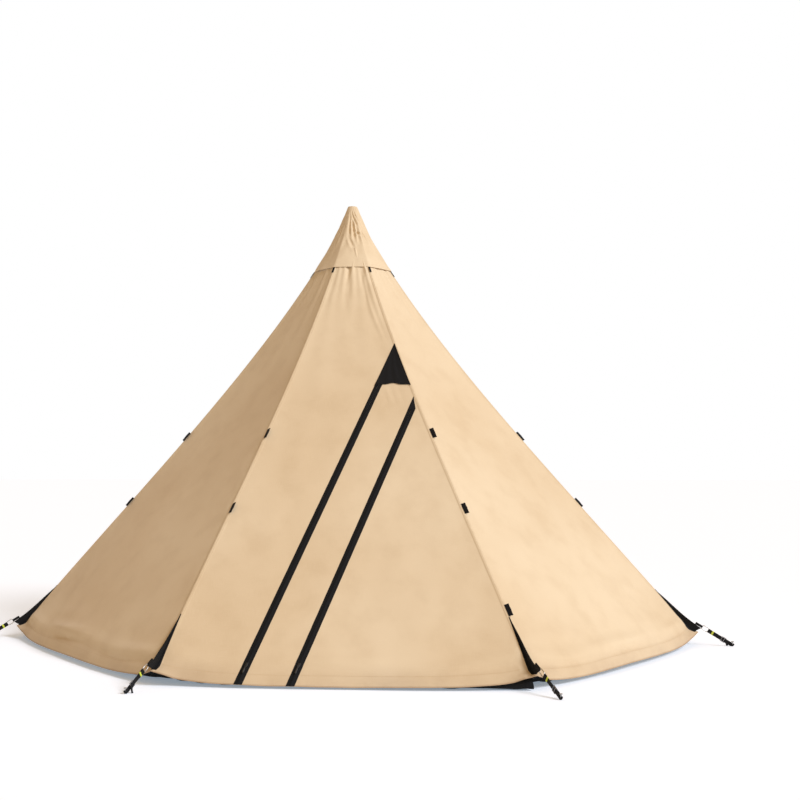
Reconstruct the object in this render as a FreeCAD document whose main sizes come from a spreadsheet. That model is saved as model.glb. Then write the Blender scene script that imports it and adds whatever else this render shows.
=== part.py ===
import FreeCAD, Part
import math
import os
import Sketcher
from FreeCAD import Placement, Rotation, Vector

# Seven-sided pole tent, in millimetres. The origin is on the ground under the
# centre pole, +Z is up, and the panel with the door faces -Y.

SIDES = 7
SIZES = {
    "apex_height": 3100.0,      # ground to the tip of the vent cap
    "corner_radius": 2421.0,    # pole axis to a seam, at ground level
    "seam_sag": 520.0,          # how far the seams are drawn in between tip and ground
    "seam_flare": 347.0,        # how far the seams kick out again near the ground
    "top_drop": 350.0,          # from the apex down to the canopy's upper edge
    "canopy_top": "=apex_height - top_drop",
    "cloth": 2.8,               # canopy wall, measured along a seam's radius
    "hem_lift": 66.0,           # height of the hem at a corner
    "hem_reach": 340.0,         # how far from a corner the hem comes down to the ground
    "web_foot": 2.0,            # clear height between the hem's corner and the seam webbing
    "webbing_width": 25.0,
    "webbing_thick": 2.4,
    "hem_band_height": 60.0,
    "flap_height": 95.0,        # mud flap, upright part
    "flap_reach": 150.0,        # mud flap, part that lies on the ground
    "zip_lean": 0.44,           # sideways travel of a zip for each unit of height
    "zip_foot": 4.0,            # height of the lowest teeth
    "bevel_height": 81.6,       # length of the right zip's slanted end
    "left_zip_foot": -569.0,    # where a zip's centre line meets the ground
    "right_zip_foot": -283.0,
    "tape_width": 48.0,
    "coil_width": 7.0,
    "coil_thick": 2.8,
    "strip_top": 1560.0,        # height of the strip's upper edge
    "leaf_top": 1500.0,
    "leaf_margin": 60.0,        # cloth left between the door's fold line and the seam
    "door_gap": 1.6,
    "patch_base": 1722.0,
    "patch_height": 318.0,
    "patch_inset": 6.0,
    "slider_width": 14.0,
    "slider_length": 26.0,
    "slider_thick": 5.0,
    "slider_gap": 6.0,
    "slider_start": 110.0,
    "bridge_length": 10.0,
    "bridge_width": 4.0,
    "bridge_height": 5.0,
    "pull_width": 9.0,
    "pull_length": 46.0,
    "pull_thick": 1.6,
    "cap_depth": 488.0,         # from the apex down to the vent cap's rim
    "cap_rim_height": "=apex_height - cap_depth",
    "cap_rim_radius": 291.0,
    "cap_tip_radius": 35.0,
    "cap_wall": 2.0,
    "cap_tab_width": 16.0,
    "cap_tab_length": 42.0,
    "cap_tab_offset": 5.0,      # a cap tab's outer face, out from the seam
    "post_radius": 6.0,
    "post_length": 240.0,
    "post_cap_radius": 22.0,
    "post_cap_thick": 10.0,
    "post_gap": 2.0,            # between the post's button and the cap's cloth
    "slide_clearance": 0.05,
    "pole_radius": 19.0,
    "pole_wall": 1.95,
    "head_drop": 110.0,         # from the apex down to the top of the pole's tubes
    "pole_head_height": "=apex_height - head_drop",
    "pole_joint_height": 2000.0,
    "socket_height": 1020.0,
    "socket_overlap": 230.0,
    "ferrule_length": 160.0,
    "head_flange_radius": 30.0,
    "head_flange_thick": 12.0,
    "head_spigot": 40.0,
    "collar_radius": 26.0,
    "collar_length": 60.0,
    "collar_drop": 36.0,        # part of the collar that hangs below the middle tube
    "collar_clearance": 1.0,
    "foot_radius": 25.0,
    "foot_height": 42.0,
    "foot_sole": 8.0,
    "net_wall": 1.0,
    "net_rise": 95.0,
    "net_inset": 5.0,
    "hanger_width": 15.0,
    "hanger_inset": 10.0,       # a hanger's lower end, inside the canopy's top corner
    "hanger_gap": 3.0,          # clear length at both ends of a hanger
    "loop_length": 75.0,
    "loop_width": 28.0,
    "loop_thick": 3.0,
    "upper_loop_height": 1404.0,
    "lower_loop_height": 943.0,
    "foot_loop_height": 395.0,
    "fin_top": 350.0,
    "fin_foot": 82.0,
    "fin_thick": 3.0,
    "fin_reach": 52.0,
    "fin_end_height": 36.0,
    "seam_gap": 1.5,
    "ring_height": 128.0,
    "ring_gap": 8.0,            # clear length between a ring and what is sewn to it
    "ring_wire": 2.8,
    "ring_length": 54.0,
    "ring_width": 33.0,
    "strap_width": 26.0,
    "strap_thick": 2.2,
    "strap_drop": 31.0,         # angle of a peg strap below level, in degrees
    "strap_clear": 0.5,         # between the strap's lower edge and the ground
    "strap_length": 157.0,
    "eye_radius": 9.0,
    "eye_lap": 1.0,             # how far the strap runs into its eye
    "mark_length": 12.0,
    "mark_thick": 0.6,
    "buckle_length": 30.0,
    "buckle_width": 35.0,
    "buckle_thick": 7.0,
    "buckle_place": 82.0,
    "buckle_bar": 6.0,          # width of a ladder-lock's bars and of the windows between them
    "buckle_rail": 2.0,         # metal left beside a window, inside the strap's edge
    "buckle_clearance": 0.4,
    "peg_radius": 3.5,
    "peg_stand": 3.0,           # clear length of a peg between its strap and its head
    "peg_height": "=strap_width + strap_clear + peg_stand",
    "peg_head_radius": 9.0,
    "peg_head_thick": 4.0,
}
SECTIONS = 12
LOOP_TURN = 65.0                # a guy loop's lean away from the seam's radius, degrees
PITCH = 360.0 / SIDES

doc = FreeCAD.newDocument("tent")
sheet = doc.addObject("Spreadsheet::Sheet", "dims")
for row, (alias, value) in enumerate(SIZES.items(), start=1):
    sheet.set(f"A{row}", alias)
    sheet.set(f"B{row}", str(value))
    sheet.setAlias(f"B{row}", alias)
doc.recompute()

nodes = []


def size(formula):
    """The present value of a formula in the sheet's aliases, such as 'dims.cloth * 2'."""
    value = sheet.evalExpression(formula)
    return float(getattr(value, "Value", value))


def radius_formula(height):
    """A seam's distance from the pole axis at a height, both as formulas."""
    part = f"(({height}) / dims.apex_height)"
    return (
        f"(dims.corner_radius * (1 - {part}) - dims.seam_sag * {part} * (1 - {part})"
        f" + dims.seam_flare * {part} * (1 - {part}) * (1 - 2 * {part}))"
    )


def half_width_formula(height):
    """Half the width of a panel at a height, as a formula."""
    return f"({radius_formula(height)} * {math.sin(math.pi / SIDES)})"


def seam_radius(height):
    return size(radius_formula(height))


def seam_angle(index):
    """Direction of a seam from +X, in degrees. Seam 0 is right of the door panel."""
    return -90.0 + (index + 0.5) * PITCH


def panel_angle(index):
    return -90.0 + index * PITCH


def keep(thing, label):
    """Give a finished sub-part its node name."""
    thing.Label = label
    nodes.append(thing)
    return thing


def bind(thing, **formulas):
    for name, formula in formulas.items():
        thing.setExpression(name.replace("__", "."), formula)
    return thing


def combine(kind, name, *things):
    """A boolean of two or more shapes: Cut and Common take two, MultiFuse any number."""
    result = doc.addObject(f"Part::{kind}", name)
    if kind.startswith("Multi"):
        result.Shapes = list(things)
    else:
        result.Base, result.Tool = things
    return result


def outline(name, points, placement=Placement()):
    """A closed sketch of straight lines whose corners follow formulas."""
    sketch = doc.addObject("Sketcher::SketchObject", name)
    constrain(sketch, points)
    sketch.Placement = placement
    return sketch


def constrain(sketch, points):
    corners = [Vector(size(across), size(up), 0) for across, up in points]
    count = len(corners)
    sides = [Part.LineSegment(corners[i], corners[(i + 1) % count]) for i in range(count)]
    sketch.addGeometry(sides, False)
    rules = [Sketcher.Constraint("Coincident", i, 2, (i + 1) % count, 1) for i in range(count)]
    for i, corner in enumerate(corners):
        rules.append(Sketcher.Constraint("DistanceX", -1, 1, i, 1, corner.x))
        rules.append(Sketcher.Constraint("DistanceY", -1, 1, i, 1, corner.y))
    sketch.addConstraint(rules)
    for i, (across, up) in enumerate(points):
        sketch.setExpression(f"Constraints[{count + 2 * i}]", across)
        sketch.setExpression(f"Constraints[{count + 2 * i + 1}]", up)


def extrusion(name, sketch, direction, length):
    """A solid made by pushing a free sketch along a direction; length is a formula."""
    solid = doc.addObject("Part::Extrusion", name)
    solid.Base = sketch
    solid.DirMode = "Custom"
    solid.Dir = direction
    solid.Solid = True
    solid.setExpression("LengthFwd", length)
    return solid


FRONT_VIEW = Placement(Vector(0, 0, 0), Rotation(Vector(1, 0, 0), 90))


def front_cutter(name, points):
    """A block behind an outline drawn on the front of the tent (across, up)."""
    return extrusion(name, outline(f"{name}_outline", points, FRONT_VIEW),
                     Vector(0, -1, 0), "dims.corner_radius * 2")


def pad(name, plane, points, thickness):
    """A body whose outline lies in one of its own planes, thickened both ways."""
    body = doc.addObject("PartDesign::Body", name)
    sketch = body.newObject("Sketcher::SketchObject", f"{name}_sketch")
    support = [f for f in body.Origin.OriginFeatures if f.Role == plane][0]
    sketch.AttachmentSupport = [(support, "")]
    sketch.MapMode = "FlatFace"
    constrain(sketch, points)
    feature = body.newObject("PartDesign::Pad", f"{name}_pad")
    feature.Profile = sketch
    feature.SideType = "Symmetric"
    feature.setExpression("Length", thickness)
    return body


def box(name, length, width, height, placement):
    """A box centred on its placement across its width and height, starting at its length."""
    solid = doc.addObject("Part::Box", name)
    bind(solid, Length=length, Width=width, Height=height)
    across = placement.Rotation.multVec(Vector(0, -size(width) / 2, -size(height) / 2))
    solid.Placement = Placement(placement.Base + across, placement.Rotation)
    return solid


def cylinder(name, radius, height, base="0"):
    solid = doc.addObject("Part::Cylinder", name)
    bind(solid, Radius=radius, Height=height, Placement__Base__z=base)
    return solid


def tube(name, outer, inner, height, base):
    """A round tube on the pole axis; every size is a formula."""
    return combine("Cut", name, cylinder(f"{name}_outer", outer, height, base),
                   cylinder(f"{name}_inner", inner, height, base))


def turned(name, thing, angles):
    """Copies of one shape turned about the pole axis, as a compound of separate solids."""
    links = []
    for index, angle in enumerate(angles, start=1):
        link = doc.addObject("App::Link", f"{name}_copy_{index}")
        link.LinkedObject = thing
        link.Placement = Placement(Vector(0, 0, 0), Rotation(Vector(0, 0, 1), angle)) * thing.Placement
        links.append(link)
    group = doc.addObject("Part::Compound", name)
    group.Links = links
    return group


def around(label, thing):
    """A group of like pieces, one at each seam."""
    return keep(turned(f"{label}_group", thing, SEAM_ANGLES), label)


SEAM_ANGLES = [seam_angle(index) for index in range(SIDES)]


# ---------------------------------------------------------------- cloth layers

def pyramid(name, offset):
    """The tent's outline as a solid, moved out from the seams by an offset formula."""
    rings = []
    for index in range(SECTIONS + 1):
        height = f"dims.canopy_top * {index} / {SECTIONS}"
        ring = doc.addObject("Part::RegularPolygon", f"{name}_{index}")
        ring.Polygon = SIDES
        ring.Placement = Placement(Vector(0, 0, 0), Rotation(Vector(0, 0, 1), seam_angle(0)))
        bind(ring, Circumradius=f"{radius_formula(height)} + {offset}", Placement__Base__z=height)
        rings.append(ring)
    solid = doc.addObject("Part::Loft", name)
    solid.Sections = rings
    solid.Solid = True
    solid.Ruled = True
    return solid


skin_out = pyramid("skin_out", "0")
skin_in = pyramid("skin_in", "-dims.cloth")
tape_out = pyramid("tape_out", "dims.webbing_thick")
coil_out = pyramid("coil_out", "dims.webbing_thick + dims.coil_thick")
web_in = pyramid("web_in", "-dims.cloth - dims.webbing_thick")
flap_in = pyramid("flap_in", "-dims.cloth - dims.webbing_thick * 2")


def layer(name, outer, inner):
    return combine("Cut", name, outer, inner)


# A shallow notch under each seam lifts the hem at the corners.
notch = pad("hem_notch", "YZ_Plane",
            [("-dims.hem_reach", "-1"), ("dims.hem_reach", "-1"), ("dims.hem_reach", "0"),
             ("0", "dims.hem_lift"), ("-dims.hem_reach", "0")],
            "dims.corner_radius * 0.5")
notch.setExpression("Placement.Base.x", "dims.corner_radius")
doc.recompute()
notches = turned("notches", notch, SEAM_ANGLES)

canopy = combine("Cut", "canopy", layer("canopy_uncut", skin_out, skin_in), notches)


def sector(name, index, low, high):
    """The wedge of space that holds one panel, between two heights."""
    edges = [seam_angle(index - 1), seam_angle(index)]
    reach = "dims.corner_radius * 2"
    corners = [("0", "0")]
    for angle in edges:
        turn = math.radians(angle)
        corners.append((f"{reach} * {math.cos(turn)}", f"{reach} * {math.sin(turn)}"))
    flat = outline(f"{name}_outline", corners)
    bind(flat, Placement__Base__z=low)
    return extrusion(name, flat, Vector(0, 0, 1), f"({high}) - ({low})")


sectors = [sector(f"sector_{index}", index, "-1", "dims.apex_height") for index in range(SIDES)]
for index in range(1, SIDES):
    keep(combine("Common", f"panel_{index}", canopy, sectors[index]), f"side_panel_{index}")


# ---------------------------------------------------------------- door

def zip_line(foot, height):
    """Where a zip's centre line is at a height, across the front."""
    return f"({foot} + dims.zip_lean * ({height}))"


LEFT = "dims.left_zip_foot"
RIGHT = "dims.right_zip_foot"
GAP = "dims.door_gap / 2"
BELOW = "-10"                   # cutting outlines start this far under the ground


def fold_line(height):
    """The door leaf's fold line: straight, a margin inside the seam at its two ends."""
    low = f"({half_width_formula('0')} - dims.leaf_margin)"
    high = f"({half_width_formula('dims.leaf_top')} - dims.leaf_margin)"
    return f"({low} + ({high} - {low}) * ({height}) / dims.leaf_top)"


def leaf_outline(gap):
    return [
        (f"{zip_line(RIGHT, BELOW)} + {gap}", BELOW),
        (f"{fold_line(BELOW)} - {gap}", BELOW),
        (f"{fold_line('dims.leaf_top')} - {gap}", f"dims.leaf_top - {gap}"),
        (f"{zip_line(RIGHT, 'dims.leaf_top')} + {gap}", f"dims.leaf_top - {gap}"),
    ]


def strip_outline(gap):
    return [
        (f"{zip_line(LEFT, BELOW)} + {gap}", BELOW),
        (f"{zip_line(RIGHT, BELOW)} - {gap}", BELOW),
        (f"{zip_line(RIGHT, 'dims.strip_top')} - {gap}", f"dims.strip_top - {gap}"),
        (f"{zip_line(LEFT, 'dims.strip_top')} + {gap}", f"dims.strip_top - {gap}"),
    ]


leaf_space = front_cutter("leaf_space", leaf_outline("0"))
strip_space = front_cutter("strip_space", strip_outline("0"))
leaf_block = front_cutter("leaf_block", leaf_outline("dims.door_gap"))
strip_block = front_cutter("strip_block", strip_outline("dims.door_gap"))
door_spaces = combine("MultiFuse", "door_spaces", leaf_space, strip_space)
front = combine("Common", "front_cloth", canopy, sectors[0])
keep(combine("Cut", "front_panel_cut", front, door_spaces), "front_panel")
keep(combine("Common", "leaf", front, leaf_block), "door_leaf")
keep(combine("Common", "strip", front, strip_block), "door_strip")


def along_zip(name, foot, near, far, low, high):
    """A slanted band beside a zip's centre line; near and far are sideways offsets."""
    return front_cutter(name, [
        (f"{zip_line(foot, low)} + {near}", low),
        (f"{zip_line(foot, low)} + {far}", low),
        (f"{zip_line(foot, high)} + {far}", high),
        (f"{zip_line(foot, high)} + {near}", high),
    ])


tape_layer = layer("tape_layer", tape_out, skin_out)
coil_layer = layer("coil_layer", coil_out, tape_out)
HALF_TAPE = "dims.tape_width / 2"
HALF_COIL = "dims.coil_width / 2"
STRIP_HIGH = "dims.strip_top - dims.door_gap"
LEAF_HIGH = "dims.leaf_top - dims.door_gap"
PATCH_FOOT = "dims.patch_base"
ZIP_FOOT = "dims.zip_foot"


def zip_half(label, foot, side, high, width, material_layer):
    """One half of a zip: a band of tape or coil on one side of its centre line."""
    near = f"{side} * dims.door_gap"
    far = f"{side} * {width}"
    block = along_zip(f"{label}_block", foot, *sorted([near, far], key=size), ZIP_FOOT, high)
    return keep(combine("Common", f"{label}_cloth", material_layer, block), label)


zip_half("zip_tape_frame", LEFT, -1, PATCH_FOOT, HALF_TAPE, tape_layer)
zip_half("zip_coil_frame", LEFT, -1, "dims.strip_top", HALF_COIL, coil_layer)
zip_half("zip_tape_strip_left", LEFT, 1, STRIP_HIGH, HALF_TAPE, tape_layer)
zip_half("zip_coil_strip_left", LEFT, 1, STRIP_HIGH, HALF_COIL, coil_layer)
zip_half("zip_tape_strip_right", RIGHT, -1, STRIP_HIGH, HALF_TAPE, tape_layer)
zip_half("zip_coil_strip_right", RIGHT, -1, STRIP_HIGH, HALF_COIL, coil_layer)
zip_half("zip_tape_leaf", RIGHT, 1, LEAF_HIGH, HALF_TAPE, tape_layer)
zip_half("zip_coil_leaf", RIGHT, 1, LEAF_HIGH, HALF_COIL, coil_layer)


def seam_side(height):
    """The front panel's right edge at a height, a little inside the seam."""
    return f"({half_width_formula(height)} - dims.patch_inset)"


# The left zip's tape goes on above the strip, up to the patch.
upper_left = along_zip("upper_left", LEFT, GAP, HALF_TAPE, "dims.strip_top + dims.door_gap", PATCH_FOOT)
keep(combine("Common", "upper_left_tape", tape_layer, upper_left), "zip_end_left")
# The right zip ends against the seam in a slanted piece of the same tape.
BEVEL_LOW = "dims.strip_top + dims.door_gap"
BEVEL_HIGH = "dims.strip_top + dims.bevel_height"
upper_right = front_cutter("upper_right", [
    (f"{zip_line(RIGHT, BEVEL_LOW)} - {HALF_TAPE}", BEVEL_LOW),
    (f"{zip_line(RIGHT, BEVEL_LOW)} + {HALF_TAPE}", BEVEL_LOW),
    (f"{zip_line(RIGHT, BEVEL_HIGH)} - {HALF_TAPE}", BEVEL_HIGH),
])
keep(combine("Common", "upper_right_tape", tape_layer, upper_right), "zip_end_right")

# Triangular reinforcement over the head of the left zip, with its right side on the seam.
PATCH_TOP = "dims.patch_base + dims.patch_height"
patch = front_cutter("patch", [
    (f"{zip_line(LEFT, PATCH_FOOT)} - {HALF_TAPE}", PATCH_FOOT),
    (seam_side(PATCH_FOOT), PATCH_FOOT),
    (seam_side(PATCH_TOP), PATCH_TOP),
])
keep(combine("Common", "patch_cloth", tape_layer, patch), "door_patch")


def slope_frame(foot, height, outward):
    """A frame on the front face beside a zip: X runs up the zip, Z points out of the cloth."""
    face = math.cos(math.pi / SIDES)

    def point(z):
        return Vector(size(zip_line(foot, str(z))), -seam_radius(str(z)) * face, z)

    step = 50.0
    here = point(height)
    up = point(height + step) - point(height - step)
    up.normalize()
    level = Vector(1, 0, 0)
    out = level.cross(up)
    out.normalize()
    side = out.cross(up)
    turn = Rotation(up, side, out, "ZXY")
    return Placement(here + out * outward, turn)


def slider(label, pull_label, foot):
    """A zip slider riding just over its coil, with a pull that hangs from its bridge."""
    frame = slope_frame(foot, size("dims.slider_start"), size("dims.webbing_thick + dims.coil_thick"))
    lift = size("dims.slider_gap + dims.slider_thick / 2")
    centre = Placement(Vector(-size("dims.slider_length") / 2, 0, lift), Rotation())
    plate = box(f"{label}_plate", "dims.slider_length", "dims.slider_width", "dims.slider_thick",
                frame * centre)
    top = lift + size("dims.slider_thick / 2")
    bridge_at = Placement(Vector(-size("dims.bridge_length / 2"), 0, top + size("dims.bridge_height / 2")),
                          Rotation())
    bridge = box(f"{label}_bridge", "dims.bridge_length", "dims.bridge_width", "dims.bridge_height",
                 frame * bridge_at)
    keep(combine("MultiFuse", f"{label}_metal", plate, bridge), label)
    hang = size("dims.bridge_length / 2 + dims.bridge_width / 2 + dims.pull_length")
    pull_at = Placement(Vector(-hang, 0, top + size("dims.bridge_width / 2")), Rotation())
    keep(box(f"{pull_label}_metal", "dims.pull_length", "dims.pull_width", "dims.pull_thick",
             frame * pull_at), pull_label)


slider("zip_slider_left", "zip_pull_left", LEFT)
slider("zip_slider_right", "zip_pull_right", RIGHT)


# ---------------------------------------------------------------- webbing and hem

# Seam webbing is sewn inside each seam, folded into its angle.
web_layer = layer("web_layer", skin_in, web_in)
WEB_NEAR = "dims.webbing_width * 3"
WEB_FAR = "dims.corner_radius * 1.2"
WEB_LOW = "dims.hem_lift + dims.web_foot"
web_slab = pad("web_slab", "XZ_Plane",
               [(WEB_NEAR, WEB_LOW), (WEB_FAR, WEB_LOW),
                (WEB_FAR, "dims.canopy_top"), (WEB_NEAR, "dims.canopy_top")],
               "dims.webbing_width")
doc.recompute()
web_slabs = turned("web_slabs", web_slab, SEAM_ANGLES)
keep(combine("Common", "web_cloth", web_layer, web_slabs), "seam_webbings")


def between_seams(name, index, low, high, margin):
    """The space in front of one panel between two heights, kept off the seams by a margin."""
    far = "dims.corner_radius"
    near = "dims.corner_radius * 0.6"
    half = f"({half_width_formula(low)} - {margin})"
    flat = outline(f"{name}_outline", [
        (near, f"-{half}"), (far, f"-{half}"), (far, half), (near, half),
    ])
    flat.Placement = Placement(Vector(0, 0, size(low)), Rotation(Vector(0, 0, 1), panel_angle(index)))
    bind(flat, Placement__Base__z=low)
    return extrusion(name, flat, Vector(0, 0, 1), f"({high}) - ({low})")


# The hem is doubled by a band inside; the door's own cloth has none.
hem_spaces = [between_seams(f"hem_space_{i}", i, "0", "dims.hem_band_height", "dims.webbing_width * 2")
              for i in range(1, SIDES)]
hem_low = combine("Cut", "hem_cut", web_layer, notches)
keep(combine("Common", "hem_cloth", hem_low, combine("MultiFuse", "hem_spaces", *hem_spaces)),
     "hem_bands")

# The mud flap hangs inside the hem and turns inwards along the ground.
flap_layer = layer("flap_layer", web_in, flap_in)
flap_parts = []
ground = combine("Cut", "flap_ground", flap_in, pyramid("flap_edge", "-dims.flap_reach"))
for index in range(SIDES):
    upright = between_seams(f"flap_up_{index}", index, "0", "dims.flap_height", "dims.webbing_width")
    laid = between_seams(f"flap_down_{index}", index, "0", "dims.webbing_thick", "dims.webbing_width")
    flap_parts.append(combine("MultiFuse", f"flap_{index}",
                              combine("Common", f"flap_rise_{index}", flap_layer, upright),
                              combine("Common", f"flap_sole_{index}", ground, laid)))
flap_group = doc.addObject("Part::Compound", "flap_group")
flap_group.Links = flap_parts
keep(flap_group, "mud_flaps")


# ---------------------------------------------------------------- guy loops

def seam_slope(height):
    """Rise of a seam at a height: its angle from level, in degrees."""
    step = 20.0
    run = seam_radius(str(height - step)) - seam_radius(str(height + step))
    return math.degrees(math.atan2(2 * step, run))


def guy_loops(label, middle, seams):
    """Flat webbing loops sewn into seams at one height, folded over to one side."""
    height = size(middle)
    along = Rotation(Vector(0, 1, 0), -(180.0 - seam_slope(height)))
    lean = Rotation(Vector(1, 0, 0), -(90.0 - LOOP_TURN))
    start = Vector(seam_radius(middle) + size("dims.seam_gap * 2"), 0, height)
    turn = along * lean
    loop = doc.addObject("Part::Box", f"{label}_loop")
    bind(loop, Length="dims.loop_length", Width="dims.loop_width", Height="dims.loop_thick")
    offset = turn.multVec(Vector(-size("dims.loop_length") / 2, size("dims.seam_gap"), 0))
    loop.Placement = Placement(start + offset, turn)
    doc.recompute()
    return keep(turned(f"{label}_group", loop, seams), label)


guy_loops("guy_loops_upper", "dims.upper_loop_height", SEAM_ANGLES)
guy_loops("guy_loops_lower", "dims.lower_loop_height", SEAM_ANGLES)
# One more loop beside the door ties the open leaf back.
guy_loops("door_tie_loop", "dims.foot_loop_height", SEAM_ANGLES[:1])


# ---------------------------------------------------------------- corner tie-downs

RING_AT = f"({radius_formula('dims.fin_foot')} + dims.fin_reach)"
fin = pad("fin", "XZ_Plane", [
    (f"{radius_formula('dims.fin_top')} + dims.seam_gap", "dims.fin_top"),
    (f"{radius_formula('dims.fin_foot')} + dims.seam_gap", "dims.fin_foot"),
    (RING_AT, "dims.ring_height - dims.fin_end_height / 2"),
    (RING_AT, "dims.ring_height + dims.fin_end_height / 2"),
], "dims.fin_thick")
doc.recompute()
around("corner_fins", fin)

# Everything beyond the fin is laid out along the strap's own line, which drops to the ground.
drop = Rotation(Vector(0, 1, 0), size("dims.strap_drop"))
strap_frame = Placement(Vector(size(RING_AT), 0, size("dims.ring_height")), drop)


def oval_ring(wire, length, width):
    """A welded oval ring of round wire, lying in X and Z with its near end at X = 0."""
    end = width / 2 - wire
    left = Vector(wire + end, 0, 0)
    right = Vector(length - wire - end, 0, 0)
    lift = Vector(0, 0, end)
    near_arc = Part.Arc(left - lift, left - Vector(end, 0, 0), left + lift).toShape()
    top = Part.makeLine(left + lift, right + lift)
    far_arc = Part.Arc(right + lift, right + Vector(end, 0, 0), right - lift).toShape()
    bottom = Part.makeLine(right - lift, left - lift)
    path = Part.Wire([near_arc, top, far_arc, bottom])
    section = Part.Wire([Part.makeCircle(wire, left - lift, Vector(1, 0, 0))])
    return path.makePipeShell([section], True, True)


ring = doc.addObject("Part::Feature", "ring")
ring.Shape = oval_ring(size("dims.ring_wire"), size("dims.ring_length"), size("dims.ring_width"))
ring.Placement = strap_frame * Placement(Vector(size("dims.ring_gap"), 0, 0), Rotation())
around("corner_rings", ring)

STRAP_START = "(dims.ring_length + dims.ring_gap * 2)"
strap_at = Placement(Vector(size(STRAP_START), 0, 0), Rotation())
strap = box("strap_band", "dims.strap_length", "dims.strap_thick", "dims.strap_width",
            strap_frame * strap_at)
PEG_ALONG = f"({STRAP_START} + dims.strap_length + dims.eye_radius - dims.eye_lap)"
peg_point = strap_frame * Vector(size(PEG_ALONG), 0, 0)
eye = combine("Cut", "strap_eye",
              cylinder("eye_outer", "dims.eye_radius", "dims.strap_width"),
              cylinder("eye_inner", "dims.peg_radius + dims.buckle_clearance", "dims.strap_width"))
eye.Placement = Placement(Vector(peg_point.x, 0, size("dims.strap_clear")), Rotation())
low_cut = box("ground_cut", "dims.corner_radius", "dims.strap_width * 4", "dims.strap_width * 4",
              Placement(Vector(size(RING_AT), 0, size("dims.strap_clear - dims.strap_width * 2")),
                        Rotation()))
peg_hole = cylinder("peg_hole", "dims.peg_radius + dims.buckle_clearance", "dims.peg_height * 2")
peg_hole.Placement = Placement(Vector(peg_point.x, 0, -size("dims.peg_height / 2")), Rotation())
strap_whole = combine("MultiFuse", "strap_whole", strap, eye)
strap_bored = combine("Cut", "strap_bored", strap_whole, peg_hole)
strap_done = combine("Cut", "strap_done", strap_bored, low_cut)
doc.recompute()
around("peg_straps", strap_done)

# A bright woven mark is stitched round each strap near its ring.
mark_at = Placement(Vector(size(f"{STRAP_START} + dims.mark_length"), 0, 0), Rotation())
mark_outer = box("mark_outer", "dims.mark_length", "dims.strap_thick + dims.mark_thick * 2",
                 "dims.strap_width + dims.mark_thick * 2", strap_frame * mark_at)
mark_inner = box("mark_inner", "dims.mark_length", "dims.strap_thick", "dims.strap_width",
                 strap_frame * mark_at)
mark = combine("Cut", "mark", mark_outer, mark_inner)
doc.recompute()
around("strap_marks", mark)

# Ladder-lock buckle: a sleeve round the strap with two windows that leave its bars.
buckle_at = strap_frame * Placement(Vector(size(f"{STRAP_START} + dims.buckle_place"), 0, 0), Rotation())
buckle_body = box("buckle_body", "dims.buckle_length", "dims.buckle_thick", "dims.buckle_width", buckle_at)
buckle_slot = box("buckle_slot", "dims.buckle_length", "dims.strap_thick + dims.buckle_clearance * 2",
                  "dims.strap_width + dims.buckle_clearance * 2", buckle_at)
windows = []
for bars in (1, 3):
    window_at = buckle_at * Placement(Vector(size("dims.buckle_bar") * bars, 0, 0), Rotation())
    windows.append(box(f"buckle_window_{bars}", "dims.buckle_bar", "dims.buckle_thick",
                       "dims.strap_width - dims.buckle_rail * 2", window_at))
buckle_holes = combine("MultiFuse", "buckle_holes", buckle_slot, *windows)
buckle = combine("Cut", "buckle", buckle_body, buckle_holes)
doc.recompute()
for index, angle in enumerate(SEAM_ANGLES, start=1):
    keep(turned(f"buckle_{index}", buckle, [angle]), f"strap_buckle_{index}")

# Pegs are shown from the ground up: a shank in the strap's eye under a flat head.
shank = cylinder("peg_shank", "dims.peg_radius", "dims.peg_height")
head = cylinder("peg_head", "dims.peg_head_radius", "dims.peg_head_thick", "dims.peg_height")
peg = combine("MultiFuse", "peg", shank, head)
peg.Placement = Placement(Vector(peg_point.x, 0, 0), Rotation())
doc.recompute()
around("pegs", peg)


# ---------------------------------------------------------------- centre pole

BORE = "(dims.pole_radius - dims.pole_wall)"
INNER = f"({BORE} - dims.slide_clearance)"
keep(tube("upper_tube", "dims.pole_radius", BORE,
          "dims.pole_joint_height - dims.socket_height", "dims.socket_height"), "pole_middle_tube")
keep(tube("top_tube", "dims.pole_radius", BORE,
          "dims.pole_head_height - dims.pole_joint_height", "dims.pole_joint_height"), "pole_top_tube")
keep(tube("ferrule", INNER, f"{INNER} - dims.pole_wall", "dims.ferrule_length",
          "dims.pole_joint_height - dims.ferrule_length / 2"), "pole_ferrule")
keep(tube("lower_tube", INNER, f"{INNER} - dims.pole_wall",
          "dims.socket_height + dims.socket_overlap - dims.foot_sole", "dims.foot_sole"),
     "pole_lower_tube")
keep(combine("Cut", "foot", cylinder("foot_block", "dims.foot_radius", "dims.foot_height"),
             cylinder("foot_socket", INNER, "dims.foot_height", "dims.foot_sole")), "pole_foot")
collar_base = "dims.socket_height - dims.collar_drop"
collar_block = cylinder("collar_block", "dims.collar_radius", "dims.collar_length", collar_base)
collar_bore = cylinder("collar_bore", f"{INNER} + dims.collar_clearance", "dims.collar_length", collar_base)
collar_seat = cylinder("collar_seat", "dims.pole_radius + dims.collar_clearance", "dims.collar_length",
                       "dims.socket_height - dims.collar_clearance")
keep(combine("Cut", "collar", collar_block,
             combine("MultiFuse", "collar_space", collar_bore, collar_seat)), "pole_collar")
head_flange = cylinder("head_flange", "dims.head_flange_radius", "dims.head_flange_thick",
                       "dims.pole_head_height")
head_spigot = cylinder("head_spigot", INNER, "dims.head_spigot + dims.head_flange_thick / 2",
                       "dims.pole_head_height - dims.head_spigot")
head_bore = cylinder("head_bore", "dims.post_radius + dims.slide_clearance",
                     "dims.head_spigot + dims.head_flange_thick",
                     "dims.pole_head_height - dims.head_spigot")
keep(combine("Cut", "pole_plug", combine("MultiFuse", "head_metal", head_flange, head_spigot),
             head_bore), "pole_head")

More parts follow.
